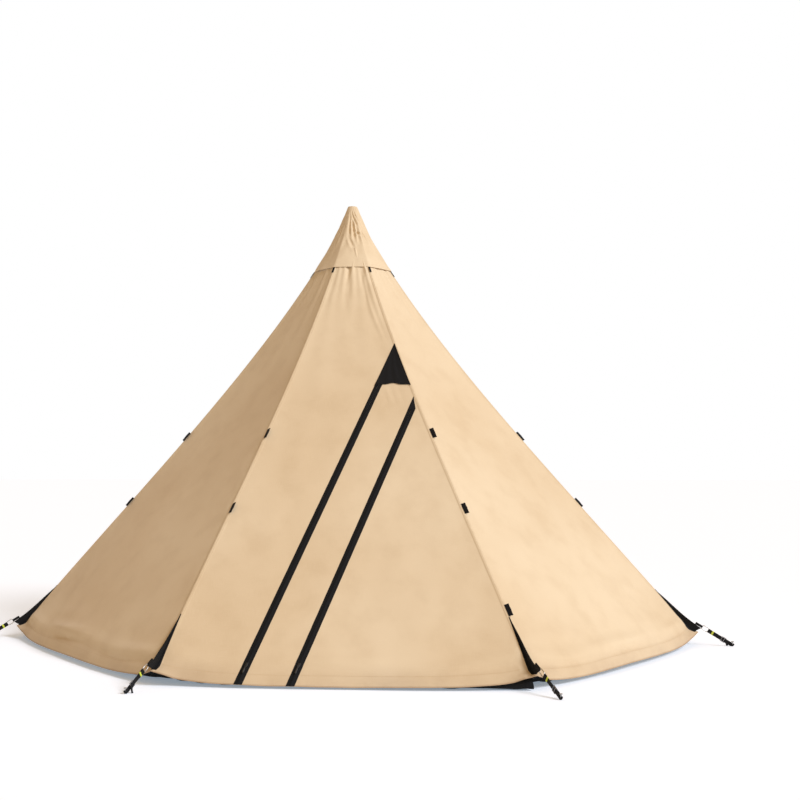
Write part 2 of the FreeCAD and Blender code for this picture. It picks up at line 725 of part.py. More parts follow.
# Hanger straps carry the canopy's top corners from the pole head.
TOP_CORNER = radius_formula("dims.canopy_top")
hang_low = Vector(seam_radius("dims.canopy_top") - size("dims.hanger_inset"), 0,
                  size("dims.canopy_top + dims.hanger_gap"))
hang_high = Vector(size("dims.head_flange_radius + dims.hanger_gap"), 0, size("dims.pole_head_height"))
hang_run = hang_high - hang_low
hang_turn = Rotation(Vector(0, 1, 0), -(180 - math.degrees(math.atan2(hang_run.z, -hang_run.x))))
hanger = doc.addObject("Part::Box", "hanger")
bind(hanger, Width="dims.hanger_width", Height="dims.webbing_thick")
hanger.Length = hang_run.Length
hanger.Placement = Placement(hang_low + hang_turn.multVec(Vector(0, -size("dims.hanger_width") / 2, 0)),
                             hang_turn)
doc.recompute()
around("hanger_straps", hanger)

# A cone of netting closes the gap between the canopy's top edge and the pole.
NET_RADIUS = f"({TOP_CORNER} * {math.cos(math.pi / SIDES)} - dims.cloth - dims.webbing_thick - dims.net_inset)"


def cone(name, low_radius, high_radius, height, base):
    solid = doc.addObject("Part::Cone", name)
    bind(solid, Radius1=low_radius, Radius2=high_radius, Height=height, Placement__Base__z=base)
    return solid


NET_TOP = "(dims.pole_radius + dims.net_wall)"
NET_BASE = "dims.canopy_top - dims.net_inset * 2"
net_outer = cone("net_outer", NET_RADIUS, f"{NET_TOP} + dims.net_wall", "dims.net_rise", NET_BASE)
net_inner = cone("net_inner", f"{NET_RADIUS} - dims.net_wall * 2", NET_TOP, "dims.net_rise", NET_BASE)
keep(combine("Cut", "net", net_outer, net_inner), "vent_net")


# ---------------------------------------------------------------- vent cap

CAP_RISE = "(dims.apex_height - dims.cap_rim_height)"
cap_outer = cone("cap_outer", "dims.cap_rim_radius", "dims.cap_tip_radius", CAP_RISE, "dims.cap_rim_height")
cap_inner = cone("cap_inner", "dims.cap_rim_radius - dims.cap_wall", "dims.cap_tip_radius - dims.cap_wall",
                 f"{CAP_RISE} - dims.cap_wall", "dims.cap_rim_height")
keep(combine("Cut", "cap", cap_outer, cap_inner), "vent_cap")

POST_TOP = "(dims.apex_height - dims.cap_wall - dims.post_gap)"
post_rod = cylinder("post_rod", "dims.post_radius", "dims.post_length", f"{POST_TOP} - dims.post_length")
post_disc = cylinder("post_disc", "dims.post_cap_radius", "dims.post_cap_thick",
                     f"{POST_TOP} - dims.post_cap_thick")
keep(combine("MultiFuse", "post", post_rod, post_disc), "cap_post")

# Webbing tabs hang from the cap's rim over each seam, where its cords are made fast.
TAB_LOW = "dims.cap_rim_height - dims.cap_tab_length"
TAB_HIGH = "dims.cap_rim_height - dims.webbing_thick * 2"
tab_low = Vector(seam_radius(TAB_LOW) + size("dims.cap_tab_offset"), 0, size(TAB_LOW))
tab_high = Vector(seam_radius(TAB_HIGH) + size("dims.cap_tab_offset"), 0, size(TAB_HIGH))
tab_run = tab_high - tab_low
tab_turn = Rotation(Vector(0, 1, 0), -(180 - math.degrees(math.atan2(tab_run.z, -tab_run.x))))
tab = doc.addObject("Part::Box", "tab")
bind(tab, Width="dims.cap_tab_width", Height="dims.webbing_thick")
tab.Length = tab_run.Length
tab.Placement = Placement(tab_low + tab_turn.multVec(Vector(0, -size("dims.cap_tab_width") / 2, 0)),
                          tab_turn)
doc.recompute()
around("cap_tabs", tab)


# ---------------------------------------------------------------- check and write

doc.recompute()
failed = [thing.Name for thing in doc.Objects if {"Invalid", "Error"} & set(thing.State)]
if failed:
    raise SystemExit(f"these objects failed: {failed}")
labels = [thing.Label for thing in nodes]
if len(set(labels)) != len(labels):
    raise SystemExit("two sub-parts share a name")
for thing in nodes:
    if thing.Shape.isNull() or not thing.Shape.isValid() or not thing.Shape.Solids:
        raise SystemExit(f"{thing.Label} has no sound shape")

os.makedirs("parts", exist_ok=True)
for thing in nodes:
    thing.Shape.exportStep(f"parts/{thing.Label}.step")
    extent = thing.Shape.BoundBox
    print(f"{thing.Label}: {len(thing.Shape.Solids)} solids, {thing.Shape.Volume / 1000:.1f} cm3, "
          f"z {extent.ZMin:.1f} to {extent.ZMax:.1f}, reach {max(extent.XMax, -extent.XMin):.0f}")
print(f"{len(nodes)} nodes")
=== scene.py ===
import math

import bmesh
import bpy
import numpy as np
from mathutils import Matrix, Vector


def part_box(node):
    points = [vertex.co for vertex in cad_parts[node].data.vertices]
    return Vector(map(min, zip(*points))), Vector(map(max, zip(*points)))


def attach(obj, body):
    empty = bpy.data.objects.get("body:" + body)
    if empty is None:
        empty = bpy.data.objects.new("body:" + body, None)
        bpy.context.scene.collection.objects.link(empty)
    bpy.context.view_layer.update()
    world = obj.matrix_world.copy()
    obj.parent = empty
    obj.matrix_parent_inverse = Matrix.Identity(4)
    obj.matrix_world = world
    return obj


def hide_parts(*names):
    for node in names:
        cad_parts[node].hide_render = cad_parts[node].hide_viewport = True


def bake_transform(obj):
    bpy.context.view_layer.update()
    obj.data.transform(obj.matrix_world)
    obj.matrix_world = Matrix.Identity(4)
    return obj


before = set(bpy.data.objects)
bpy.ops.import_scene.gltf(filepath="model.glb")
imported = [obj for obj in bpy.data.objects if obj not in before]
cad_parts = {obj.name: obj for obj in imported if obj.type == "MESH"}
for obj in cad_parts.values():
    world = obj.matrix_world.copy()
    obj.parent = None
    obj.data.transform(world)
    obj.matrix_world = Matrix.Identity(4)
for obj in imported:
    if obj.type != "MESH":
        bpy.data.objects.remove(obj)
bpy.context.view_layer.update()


# ---------------------------------------------------------------- studio
# A standing person's view of the door side, from a little right of the tent's middle.
# The floor is a pale seamless sheet with a faint glow, so that it meets the white background.
# One broad soft light stands on the right, and a warm sky fills the shaded side.

camera = bpy.data.objects.new("camera", bpy.data.cameras.new("camera"))
bpy.context.scene.collection.objects.link(camera)
camera.location = (0.217, -8.017, 1.196)
camera.rotation_euler = (math.pi / 2, 0, 0.066)
camera.data.lens = 49.21
camera.data.shift_x = 0.1125
camera.data.shift_y = 0.083
bpy.context.scene.camera = camera
bpy.context.scene.view_settings.view_transform = "Standard"

SKY_LIGHT = 0.44
PALE = 1.0

key = bpy.data.objects.new("key", bpy.data.lights.new("key", "SUN"))
bpy.context.scene.collection.objects.link(key)
key.data.energy = 2.65
key.data.angle = math.radians(24)
key.data.color = (0.92, 1.0, 1.16)
key.rotation_euler = Vector((0.78, -0.44, 0.70)).to_track_quat("Z", "Y").to_euler()

world = bpy.data.worlds.new("sky")
bpy.context.scene.world = world
world.use_nodes = True
sky = world.node_tree.nodes["Background"]
seen = world.node_tree.nodes.new("ShaderNodeLightPath")
tint = world.node_tree.nodes.new("ShaderNodeMix")
tint.data_type = "RGBA"
tint.inputs["A"].default_value = (1.0, 0.70, 0.38, 1.0)
tint.inputs["B"].default_value = (1.0, 1.0, 1.0, 1.0)
world.node_tree.links.new(seen.outputs["Is Camera Ray"], tint.inputs["Factor"])
world.node_tree.links.new(tint.outputs["Result"], sky.inputs["Color"])
share = world.node_tree.nodes.new("ShaderNodeMapRange")
share.inputs["To Min"].default_value = SKY_LIGHT
share.inputs["To Max"].default_value = PALE
world.node_tree.links.new(seen.outputs["Is Camera Ray"], share.inputs["Value"])
world.node_tree.links.new(share.outputs["Result"], sky.inputs["Strength"])

floor_mesh = bpy.data.meshes.new("floor")
floor_mesh.from_pydata([(-90, -90, 0), (90, -90, 0), (90, 90, 0), (-90, 90, 0)], [], [(0, 1, 2, 3)])
floor = bpy.data.objects.new("floor", floor_mesh)
bpy.context.scene.collection.objects.link(floor)
floor_paint = bpy.data.materials.new("floor_paint")
floor_paint.use_nodes = True
floor_shader = floor_paint.node_tree.nodes["Principled BSDF"]
floor_shader.inputs["Base Color"].default_value = (0.90, 0.90, 0.90, 1.0)
floor_shader.inputs["Roughness"].default_value = 0.9
floor_shader.inputs["Emission Color"].default_value = (0.70, 0.84, 1.0, 1.0)
floor_shader.inputs["Emission Strength"].default_value = 0.32
floor_mesh.materials.append(floor_paint)


# ---------------------------------------------------------------- canopy
# Seven gores of tan cotton canvas, felled together at their seams and pulled out at the corners.
# The seams run in a hollow curve from the hem to the top edge, and the hem is turned up and stitched.

SIDES = 7
HALF_PANEL = math.pi / SIDES
CANVAS_THICK = 0.0014
CANOPY_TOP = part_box("side_panel_1")[1].z
APEX_HEIGHT = 3.100
CORNER_REACH = 2.421
SEAM_HOLLOW, SEAM_SHIFT = 0.520, 0.347
HEM_CORNER = 0.066
HEM_LOW = 0.004
HEM_LIFT_POWER = 3.6
FRONT_HEM_LOW = 0.012
TAN = (0.70, 0.53, 0.325, 1.0)
TAN_DARK = (0.50, 0.335, 0.170, 1.0)
TAN_PALE = (0.79, 0.63, 0.415, 1.0)
# dark brown for the soil near the hem, and for the painted shade along the hem's foot
HEM_SOIL_AND_SHADE = (0.20, 0.085, 0.035, 1.0)
ZIP_LEAN = 0.44
LEFT_FOOT = -0.569
RIGHT_FOOT = -0.283
STRIP_TOP = 1.56
LEAF_TOP = 1.50
LEAF_MARGIN = 0.060
CORNER_CURL = 0.030
LOOP_HEIGHTS = (1.404, 0.943, 0.395)


def seam_curve():
    """The seam's distance from the pole as a cubic in height: a straight line, hollowed."""
    climb = np.linspace(0, 1, 7)
    hollow = climb * (1 - climb)
    reach = CORNER_REACH * (1 - climb) + hollow * (SEAM_SHIFT * (1 - 2 * climb) - SEAM_HOLLOW)
    return np.polyfit(climb * APEX_HEIGHT, reach, 3)


SEAM = seam_curve()
SEAM_SLOPE = np.polyder(SEAM)


def seam_radius(height):
    return np.polyval(SEAM, height)


def half_width(height):
    """Half the width of a panel."""
    return seam_radius(height) * math.sin(HALF_PANEL)


def ease(low, high, value):
    """0 below low, 1 above high, and a smooth rise between them."""
    t = np.clip((value - low) / (high - low), 0, 1)
    return t * t * (3 - 2 * t)


def ripple(along, across, seed, waves=6):
    """Smooth unevenness in two directions, about -1 to 1, the same at each run."""
    rng = np.random.default_rng(seed)
    total = 0.0
    for _ in range(waves):
        a, b = rng.uniform(0.5, 1.6, 2) * rng.choice([-1, 1], 2)
        total = total + np.sin(2 * math.pi * (a * along + b * across) + rng.uniform(0, 7))
    return total / waves ** 0.5 * 0.8


def hem_height(panel, share):
    """The hem rises to the corners, where the tie-downs hold it off the ground."""
    low = FRONT_HEM_LOW if panel == 0 else HEM_LOW
    return low + (HEM_CORNER - low) * np.abs(share) ** HEM_LIFT_POWER


def zip_offset(across, height):
    """Sideways distance from the nearer zip."""
    left = across - (LEFT_FOOT + ZIP_LEAN * height)
    right = across - (RIGHT_FOOT + ZIP_LEAN * height)
    return np.where(np.abs(left) < np.abs(right), left, right)


def swell(panel, across, height):
    """How far the cloth stands out of the flat face: belly, gathers, puckers, hem roll."""
    half = half_width(height)
    share = across / half
    from_seam = np.maximum(half - np.abs(across), 0)
    above_hem = np.maximum(height - hem_height(panel, share), 0)
    inside = 1 - np.exp(-(from_seam / 0.03) ** 2)
    belly = 0.050 * np.exp(-(height / 0.75) ** 2) + 0.004 - 0.010 * np.exp(-((height - 1.7) / 0.6) ** 2)
    quiet = 1.0
    if panel == 0:
        belly = belly * 0.12
        near_zip = np.exp(-(zip_offset(across, height) / 0.10) ** 2) * (height < 1.75)
        quiet = 1 - 0.85 * near_zip
        run = height * 1.25
        beside = np.exp(-((np.abs(zip_offset(across, height)) - 0.040) / 0.018) ** 2)
        belly = belly + 0.0013 * beside * np.sin(2 * math.pi * run / 0.085 + 3 * np.sin(run * 4))
        under_patch = np.exp(-((height - 1.67) / 0.06) ** 2) * ease(0.19, 0.24, across)
        belly = belly + 0.0035 * under_patch * np.sin(2 * math.pi * (across + 0.35 * height) / 0.055)
        drift = 0.012 * np.sin(height * 9)
        welt = np.exp(-((from_seam - 0.032 - drift * 0.4) / 0.0085) ** 2)
        welt = welt + 0.8 * np.exp(-((from_seam - 0.068 - drift) / 0.011) ** 2)
        belly = belly + 0.0120 * welt * (share > 0) * ease(1.98, 2.2, height)
    total = belly * (1 - share ** 2)
    total = total + 0.0034 * quiet * ripple(across * 0.9, height * 0.45, 11 + panel)
    total = total + 0.0012 * quiet * ripple(across * 3.2, height * 1.5, 31 + panel)
    # gathers hang from the top edge, where the cloth is drawn together
    folds = np.sin(share * 9.5 + 0.7 * panel) + 0.7 * np.sin(share * 17 + 2.1 * panel + 1.0)
    gather = 0.0060 * ease(2.15, 2.62, height) if panel == 0 else 0.0020 * ease(2.0, 2.7, height)
    total = total + gather * folds
    if panel == 0:
        lines = across / (0.030 + 0.020 * (CANOPY_TOP - height)) + 0.8 * np.sin(height * 11)
        thin = np.exp(-(np.sin(lines) / 0.35) ** 2) * (0.5 + 0.5 * np.sin(lines * 0.37 + 1))
        total = total + 0.0055 * thin * ease(2.20, 2.60, height)
    total = total + 0.0008 * ease(1.2, 2.2, height) * np.sin(share * 13 + height * 1.5 + panel)
    # faint strains run out from where the loops pull on the seams
    for level in LOOP_HEIGHTS:
        reach = np.hypot(from_seam, height - level)
        turn = np.arctan2(height - level, from_seam + 0.02)
        total = total + 0.0016 * quiet * np.exp(-reach / 0.16) * np.sin(turn * 7)
    # the bottom of the cloth hangs from a soft roll along the top of the hem
    amount = 0.62 + 0.38 * ripple(across * 0.9, np.zeros_like(across), 71 + panel)
    place = 0.112 + 0.018 * ripple(across * 0.7, np.zeros_like(across), 91 + panel)
    size = 0.013 if panel == 0 else 0.024
    total = total + size * quiet * amount * np.exp(-((above_hem - place) / 0.034) ** 2)
    total = total - 0.35 * size * quiet * amount * np.exp(-((above_hem - place + 0.045) / 0.014) ** 2)
    second = place + 0.085 + 0.02 * ripple(across * 0.8, np.zeros_like(across), 131 + panel)
    faint = 0.5 + 0.5 * ripple(across * 0.8, np.zeros_like(across), 111 + panel)
    total = total + 0.35 * size * quiet * faint * np.exp(-((above_hem - second) / 0.040) ** 2)
    creases = ripple(across * 1.4, above_hem * 11, 51 + panel)
    total = total + 0.0026 * quiet * creases * np.exp(-((above_hem - 0.080) / 0.05) ** 2)
    total = total - 0.010 * quiet * np.exp(-(above_hem / 0.035) ** 2) * (1 if panel else 0.5)
    # strains fan out over the lowest part of each corner
    corner = np.exp(-(above_hem / 0.13) ** 2) * np.exp(-(from_seam / 0.22) ** 2)
    total = total + 0.0042 * corner * np.sin(np.arctan2(above_hem, from_seam + 0.01) * 11)
    curl = np.exp(-(above_hem / 0.030) ** 2) * np.exp(-((from_seam - 0.060) / 0.035) ** 2)
    total = total + 0.016 * curl
    total = total * inside
    at_corner = np.exp(-((height - HEM_CORNER) / 0.022) ** 2) * np.exp(-(from_seam / 0.06) ** 2)
    total = total + CORNER_CURL * at_corner
    # the felled seam is a flat ridge, and the turned hem a second one
    total = total + 0.0022 * (1 - ease(0.0105, 0.0145, from_seam))
    total = total + 0.0012 * (1 - ease(0.052, 0.058, above_hem)) * inside
    return total


def skin(panel, across, height, lift=0.0):
    """Points on a panel: metres across from its middle, height, and distance off the cloth."""
    across, height, lift = np.broadcast_arrays(np.asarray(across, float), height, lift)
    share = np.clip(across / half_width(height), -1, 1)
    apothem = seam_radius(height) * math.cos(HALF_PANEL)
    lean = -np.polyval(SEAM_SLOPE, height) * math.cos(HALF_PANEL)
    rise = swell(panel, across, height) + lift
    middle = math.radians(-90) + panel * 2 * HALF_PANEL
    facing = middle + HALF_PANEL * share * np.abs(share) ** 7
    steep = np.sqrt(1 + lean ** 2)
    x = math.cos(middle) * apothem - math.sin(middle) * across + np.cos(facing) * rise / steep
    y = math.sin(middle) * apothem + math.cos(middle) * across + np.sin(facing) * rise / steep
    return np.stack([x, y, np.maximum(height + lean * rise / steep, 0.001)], -1)


def run_up(height):
    """Length along the cloth from the ground to a height."""
    levels = np.linspace(0, 3, 121)
    slope = np.polyval(SEAM_SLOPE, levels) * math.cos(HALF_PANEL)
    lengths = np.concatenate([[0], np.cumsum(np.sqrt(1 + slope[1:] ** 2) * np.diff(levels))])
    return np.interp(height, levels, lengths)


EDGE_COLUMNS = (0.0, 0.0045, 0.0095, 0.0125, 0.0165, 0.030)
MIDDLE_COLUMNS = 49
HEM_ROWS = (0.0, 0.004, 0.014, 0.028, 0.040, 0.050, 0.056, 0.061, 0.070, 0.084, 0.100,
            0.118, 0.138, 0.160, 0.185, 0.215)
UPPER_ROWS = 98


def gore(panel):
    """A panel's grid of points, as (across, height) on its flat face."""
    low = np.array(HEM_ROWS)
    high = np.linspace(HEM_ROWS[-1], 1, UPPER_ROWS + 1)[1:]
    rows = []
    for climb in np.concatenate([low, high]):
        width = half_width(HEM_CORNER + (CANOPY_TOP - HEM_CORNER) * climb if climb > low[-1] else climb)
        shares = np.concatenate([
            [-1 + d / width for d in EDGE_COLUMNS],
            np.linspace(-1 + EDGE_COLUMNS[-1] / width, 1 - EDGE_COLUMNS[-1] / width, MIDDLE_COLUMNS)[1:-1],
            [1 - d / width for d in reversed(EDGE_COLUMNS)],
        ])
        foot = hem_height(panel, shares)
        if climb <= low[-1]:
            height = foot + climb
        else:
            start = foot + low[-1]
            height = start + (CANOPY_TOP - start) * (climb - low[-1]) / (1 - low[-1])
        rows.append(np.stack([shares * half_width(height), height], -1))
    return np.array(rows)


def grid_faces(rows, columns, start=0, wrap=False, close=False):
    """Quads over a grid of points; wrap joins the last column to the first, close the rows."""
    made = []
    for i in range(rows if close else rows - 1):
        for j in range(columns if wrap else columns - 1):
            k, n = (i + 1) % rows, (j + 1) % columns
            made.append((start + i * columns + j, start + i * columns + n,
                         start + k * columns + n, start + k * columns + j))
    return made


FOLD_FOOT = half_width(0.0) - LEAF_MARGIN
FOLD_LEAN = (half_width(LEAF_TOP) - half_width(0.0)) / LEAF_TOP


def cut_front():
    """The door panel's grid cut along the zips and the fold line, sorted into its three cloths."""
    flat = gore(0)
    rows, columns = flat.shape[:2]
    bm = bmesh.new()
    corners = [bm.verts.new((x, 0, z)) for x, z in flat.reshape(-1, 2)]
    for face in grid_faces(rows, columns):
        bm.faces.new([corners[i] for i in face])

    def beside(face, foot, lean=ZIP_LEAN):
        middle = face.calc_center_median()
        return middle.x - foot - lean * middle.z

    def cut(place, square, wanted):
        faces = [f for f in bm.faces if wanted(f)]
        edges = list({e for f in faces for e in f.edges})
        corners = list({v for f in faces for v in f.verts})
        bmesh.ops.bisect_plane(bm, geom=faces + edges + corners, dist=1e-5, plane_co=place, plane_no=square)

    for foot in (LEFT_FOOT, RIGHT_FOOT):
        cut((foot, 0, 0), (1, 0, -ZIP_LEAN), lambda f: f.calc_center_median().z < STRIP_TOP + 0.06)
    cut((FOLD_FOOT, 0, 0), (1, 0, -FOLD_LEAN),
        lambda f: f.calc_center_median().z < LEAF_TOP + 0.05 and beside(f, RIGHT_FOOT) > 0)
    cut((0, 0, STRIP_TOP), (0, 0, 1), lambda f: beside(f, LEFT_FOOT) > 0 and beside(f, RIGHT_FOOT) < 0)
    cut((0, 0, LEAF_TOP), (0, 0, 1),
        lambda f: beside(f, RIGHT_FOOT) > 0 and beside(f, FOLD_FOOT, FOLD_LEAN) < 0)
    bm.verts.index_update()
    points = np.array([(v.co.x, v.co.z) for v in bm.verts])
    cloths = {"panel": [], "strip": [], "leaf": []}
    for face in bm.faces:
        middle = face.calc_center_median()
        past_left, past_right = beside(face, LEFT_FOOT) > 0, beside(face, RIGHT_FOOT) > 0
        if past_left and not past_right and middle.z < STRIP_TOP:
            cloth = "strip"
        elif past_right and beside(face, FOLD_FOOT, FOLD_LEAN) < 0 and middle.z < LEAF_TOP:
            cloth = "leaf"
        else:
            cloth = "panel"
        cloths[cloth].append(tuple(v.index for v in face.verts))
    bm.free()
    return points, cloths


FRONT_POINTS, FRONT_CLOTHS = cut_front()


class Wire:
    """One socket of a material. Sums on it add Math nodes, and node() adds any other kind."""

    def __init__(self, tree, socket=None):
        self.tree, self.socket = tree, socket

    def node(self, kind, settings=None, inputs=None, out=0):
        made = self.tree.nodes.new("ShaderNode" + kind)
        for name, value in (settings or {}).items():
            if name == "stops":
                ramp = made.color_ramp.elements
                while len(ramp) < len(value):
                    ramp.new(0.5)
                for stop, (place, colour) in zip(ramp, value):
                    stop.position, stop.color = place, colour
            else:
                setattr(made, name, value)
        for name, value in (inputs or {}).items():
            if isinstance(value, Wire):
                self.tree.links.new(value.socket, made.inputs[name])
            else:
                made.inputs[name].default_value = value
        return Wire(self.tree, made.outputs[out])

    def output(self, index):
        return Wire(self.tree, self.socket.node.outputs[index])

    def sum(self, operation, first, second=0.0):
        return self.node("Math", {"operation": operation}, {0: first, 1: second})

    def __add__(self, other):
        return self.sum("ADD", self, other)

    def __sub__(self, other):
        return self.sum("SUBTRACT", self, other)

    def __rsub__(self, other):
        return self.sum("SUBTRACT", other, self)

    def __mul__(self, other):
        return self.sum("MULTIPLY", self, other)

    def __truediv__(self, other):
        return self.sum("DIVIDE", self, other)

    def __lt__(self, other):
        return self.sum("LESS_THAN", self, other)

    def __gt__(self, other):
        return self.sum("GREATER_THAN", self, other)

    def __abs__(self):
        return self.sum("ABSOLUTE", self)

    __radd__ = __add__
    __rmul__ = __mul__

    def sine(self):
        return self.sum("SINE", self)

    def part(self):
        """What is left over a whole number."""
        return self.sum("FRACT", self)

    def fade(self, low, high):
        """0 at low, 1 at high, and smooth between them."""
        return self.node("MapRange", {"interpolation_type": "SMOOTHSTEP"},
                         {"Value": self, "From Min": low, "From Max": high})

    def mix(self, first, second):
        """Colours mixed by this factor."""
        return self.node("Mix", {"data_type": "RGBA"}, {0: self, 6: first, 7: second}, out=2)

    def noise(self, where, scale, detail=2.0):
        return self.node("TexNoise", {}, {"Vector": where, "Scale": scale, "Detail": detail})

    def stretched(self, where, x, y, z=1.0):
        return self.node("VectorMath", {"operation": "MULTIPLY"}, {0: where, 1: (x, y, z)})


def new_finish(name, colour, roughness, **constants):
    """A material with its plain values set on the shader itself, and a wire to build from."""
    material = bpy.data.materials.new(name)
    material.use_nodes = True
    tree = material.node_tree
    shader = tree.nodes["Principled BSDF"]
    shader.inputs["Base Color"].default_value = colour
    shader.inputs["Roughness"].default_value = roughness
    for key_name, value in constants.items():
        shader.inputs[key_name.replace("_", " ").title()].default_value = value
    return material, Wire(tree), shader


def feed(shader, wires, height=None, distance=0.001, strength=1.0):
    """Join wires to a shader's sockets, and a height to its normal through a bump."""
    tree = shader.id_data
    for name, wire in wires.items():
        tree.links.new(wire.socket, shader.inputs[name])
    if height is not None:
        bump = height.node("Bump", {}, {"Height": height, "Distance": distance, "Strength": strength})
        tree.links.new(bump.socket, shader.inputs["Normal"])


def weave(start, flat, pitch):
    """Height of a plain weave over flat cloth coordinates in metres, 0 to 1."""
    threads = start.node("SeparateXYZ", {}, {0: flat})
    over = (threads * (math.pi * 2 / pitch)).sine()
    under = (threads.output(1) * (math.pi * 2 / pitch)).sine()
    return over * under * 0.5 + 0.5


def stitches(distance, along, place, width=0.0008, length=0.0045):
    """A row of thread beside an edge: 1 on each stitch, 0 between them."""
    return (abs(distance - place) < width) * ((along / length).part() < 0.66)


def canvas_finish(name, seams=True):
    """Tan cotton canvas: plain weave, slubs, sun-bleached and soiled patches, painted shade along the hem's
    foot and the seams' edges, stitched seams.
    """
    material, start, shader = new_finish(name, TAN, 0.86, Sheen_Weight=0.18, Sheen_Roughness=0.45)
    shader.inputs["Specular IOR Level"].default_value = 0.25
    flat = start.node("UVMap", {"uv_map": "cloth"})
    place = start.node("TexCoord", out=3)
    above_hem = start.node("Attribute", {"attribute_name": "above_hem"}, out=2)
    cloud = start.noise(place, 0.9, 4.0)
    patch = start.noise(place, 6.0, 3.0)
    warp = start.noise(start.stretched(flat, 420, 16), 1.0, 1.0)
    weft = start.noise(start.stretched(flat, 16, 420), 1.0, 1.0)
    threads = weave(start, flat, 0.0016)
    colour = cloud.fade(0.30, 0.72).mix(TAN, TAN_PALE)
    colour = (patch.fade(0.42, 0.75) * 0.16).mix(colour, TAN_DARK)
    colour = ((warp + weft).fade(0.85, 1.35) * 0.22).mix(colour, TAN_PALE)
    colour = ((1 - threads) * 0.10).mix(colour, TAN_DARK)
    soil = (1 - above_hem.fade(0.0, 0.13)) * (start.noise(place, 3.5, 4.0).fade(0.25, 0.75) * 0.7 + 0.3)
    # blotchy soil over the lowest 130 mm, and a painted shade band over the lowest 10 mm, where the hem
    # meets the ground
    colour = (soil * 0.26 + (1 - above_hem.fade(0.0, 0.010)) * 0.4).mix(colour, HEM_SOIL_AND_SHADE)
    height = threads * 0.35 + (warp + weft) * 0.4
    if seams:
        seam = start.node("Attribute", {"attribute_name": "from_seam"}, out=2)
        along = flat.node("SeparateXYZ", {}, {0: flat}, out=1)
        across = flat.node("SeparateXYZ", {}, {0: flat})
        thread = stitches(seam, along, 0.0030) + stitches(seam, along, 0.0105)
        thread = thread + stitches(above_hem, across, 0.052)
        colour = (thread * 0.8).mix(colour, (0.62, 0.43, 0.22, 1.0))
        # painted shade: a darker line along the folded edge of each felled seam
        shade = 1 - abs(seam - 0.0135).fade(0.0, 0.0035)
        colour = (shade * 0.30).mix(colour, TAN_DARK)
        height = height + thread * 1.3 - (1 - abs(seam - 0.0030).fade(0.0, 0.003)) * 0.8
    rough = 0.80 + patch * 0.12
    feed(shader, {"Base Color": colour, "Roughness": rough}, height, 0.0006, 0.8)
    return material


CANVAS = canvas_finish("canvas")


def shape(name, points, faces, material, flats=None, marks=None, weld=False, sharp=40.0):
    """A finished mesh. flats are cloth coordinates, one for each point or each face corner."""
    mesh = bpy.data.meshes.new(name)
    mesh.from_pydata(np.asarray(points, float).tolist(), [], faces)
    if flats is not None:
        flats = np.asarray(flats, float)
        layer = mesh.uv_layers.new(name="cloth")
        if len(flats) == len(mesh.vertices) and len(flats) != len(mesh.loops):
            index = np.zeros(len(mesh.loops), np.int32)
            mesh.loops.foreach_get("vertex_index", index)
            flats = flats[index]
        layer.data.foreach_set("uv", flats.astype(np.float32).ravel())
    for mark, values in (marks or {}).items():
        mesh.attributes.new(mark, "FLOAT", "POINT").data.foreach_set("value", np.asarray(values, np.float32))
    if weld:
        bm = bmesh.new()
        bm.from_mesh(mesh)
        bmesh.ops.remove_doubles(bm, verts=bm.verts, dist=2e-5)
        bm.to_mesh(mesh)
        bm.free()
    mesh.materials.append(material)
    mesh.shade_smooth()
    mesh.set_sharp_from_angle(angle=math.radians(sharp))
    made = bpy.data.objects.new(name, mesh)
    bpy.context.scene.collection.objects.link(made)
    return made


def thicken(piece, thickness, offset=-1.0):
    """Gives a sheet its thickness, inwards unless the offset says otherwise."""
    bm = bmesh.new()
    bm.from_mesh(piece.data)
    for edge in bm.edges:
        if edge.is_boundary:
            edge.smooth = False
    bm.to_mesh(piece.data)
    bm.free()
    layer = piece.modifiers.new("thickness", "SOLIDIFY")
    layer.thickness = thickness
    layer.offset = offset
    return piece


def hand_over(piece, body, slot, *nodes):
    """Says which body a piece rides on and which nodes it stands for; the slot is not used."""
    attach(piece, body)
    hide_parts(*nodes)


def cloth_marks(panel, flat):
    """Each point's distance from the nearer seam and above the hem."""
    half = half_width(flat[:, 1])
    return {"from_seam": np.maximum(half - np.abs(flat[:, 0]), 0),
            "above_hem": np.maximum(flat[:, 1] - hem_height(panel, flat[:, 0] / half), 0)}


def build_canopy():
    points, faces, flats, marks = [], [], [], {"from_seam": [], "above_hem": []}
    count = 0
    for panel in range(SIDES):
        if panel == 0:
            used = sorted({i for face in FRONT_CLOTHS["panel"] for i in face})
            place = {old: new for new, old in enumerate(used)}
            flat = FRONT_POINTS[used]
            cut = [tuple(count + place[i] for i in face) for face in FRONT_CLOTHS["panel"]]
        else:
            grid = gore(panel)
            flat = grid.reshape(-1, 2)
            cut = grid_faces(*grid.shape[:2], start=count)
        points.append(skin(panel, flat[:, 0], flat[:, 1]))
        faces += cut
        flats.append(np.stack([flat[:, 0] + panel * 2.2, run_up(flat[:, 1])], -1))
        for mark, values in cloth_marks(panel, flat).items():
            marks[mark].append(values)
        count += len(flat)
    marks = {mark: np.concatenate(values) for mark, values in marks.items()}
    return shape("canopy", np.concatenate(points), faces, CANVAS, np.concatenate(flats), marks, weld=True)


canopy = thicken(build_canopy(), CANVAS_THICK)
hand_over(canopy, "root", "canvas", "front_panel", *[f"side_panel_{k}" for k in range(1, SIDES)])


# ---------------------------------------------------------------- door
# The door is two cloths of the same canvas: a leaf that folds back beside the right-hand seam,
# and the narrow strip between the zips, which is sewn to the panel along its top.

BEND = 0.070
FOLD_MARKS = (0.4, 1.2)
STRIP_MIDDLE, STRIP_BEND_DEPTH = 0.26, 0.055


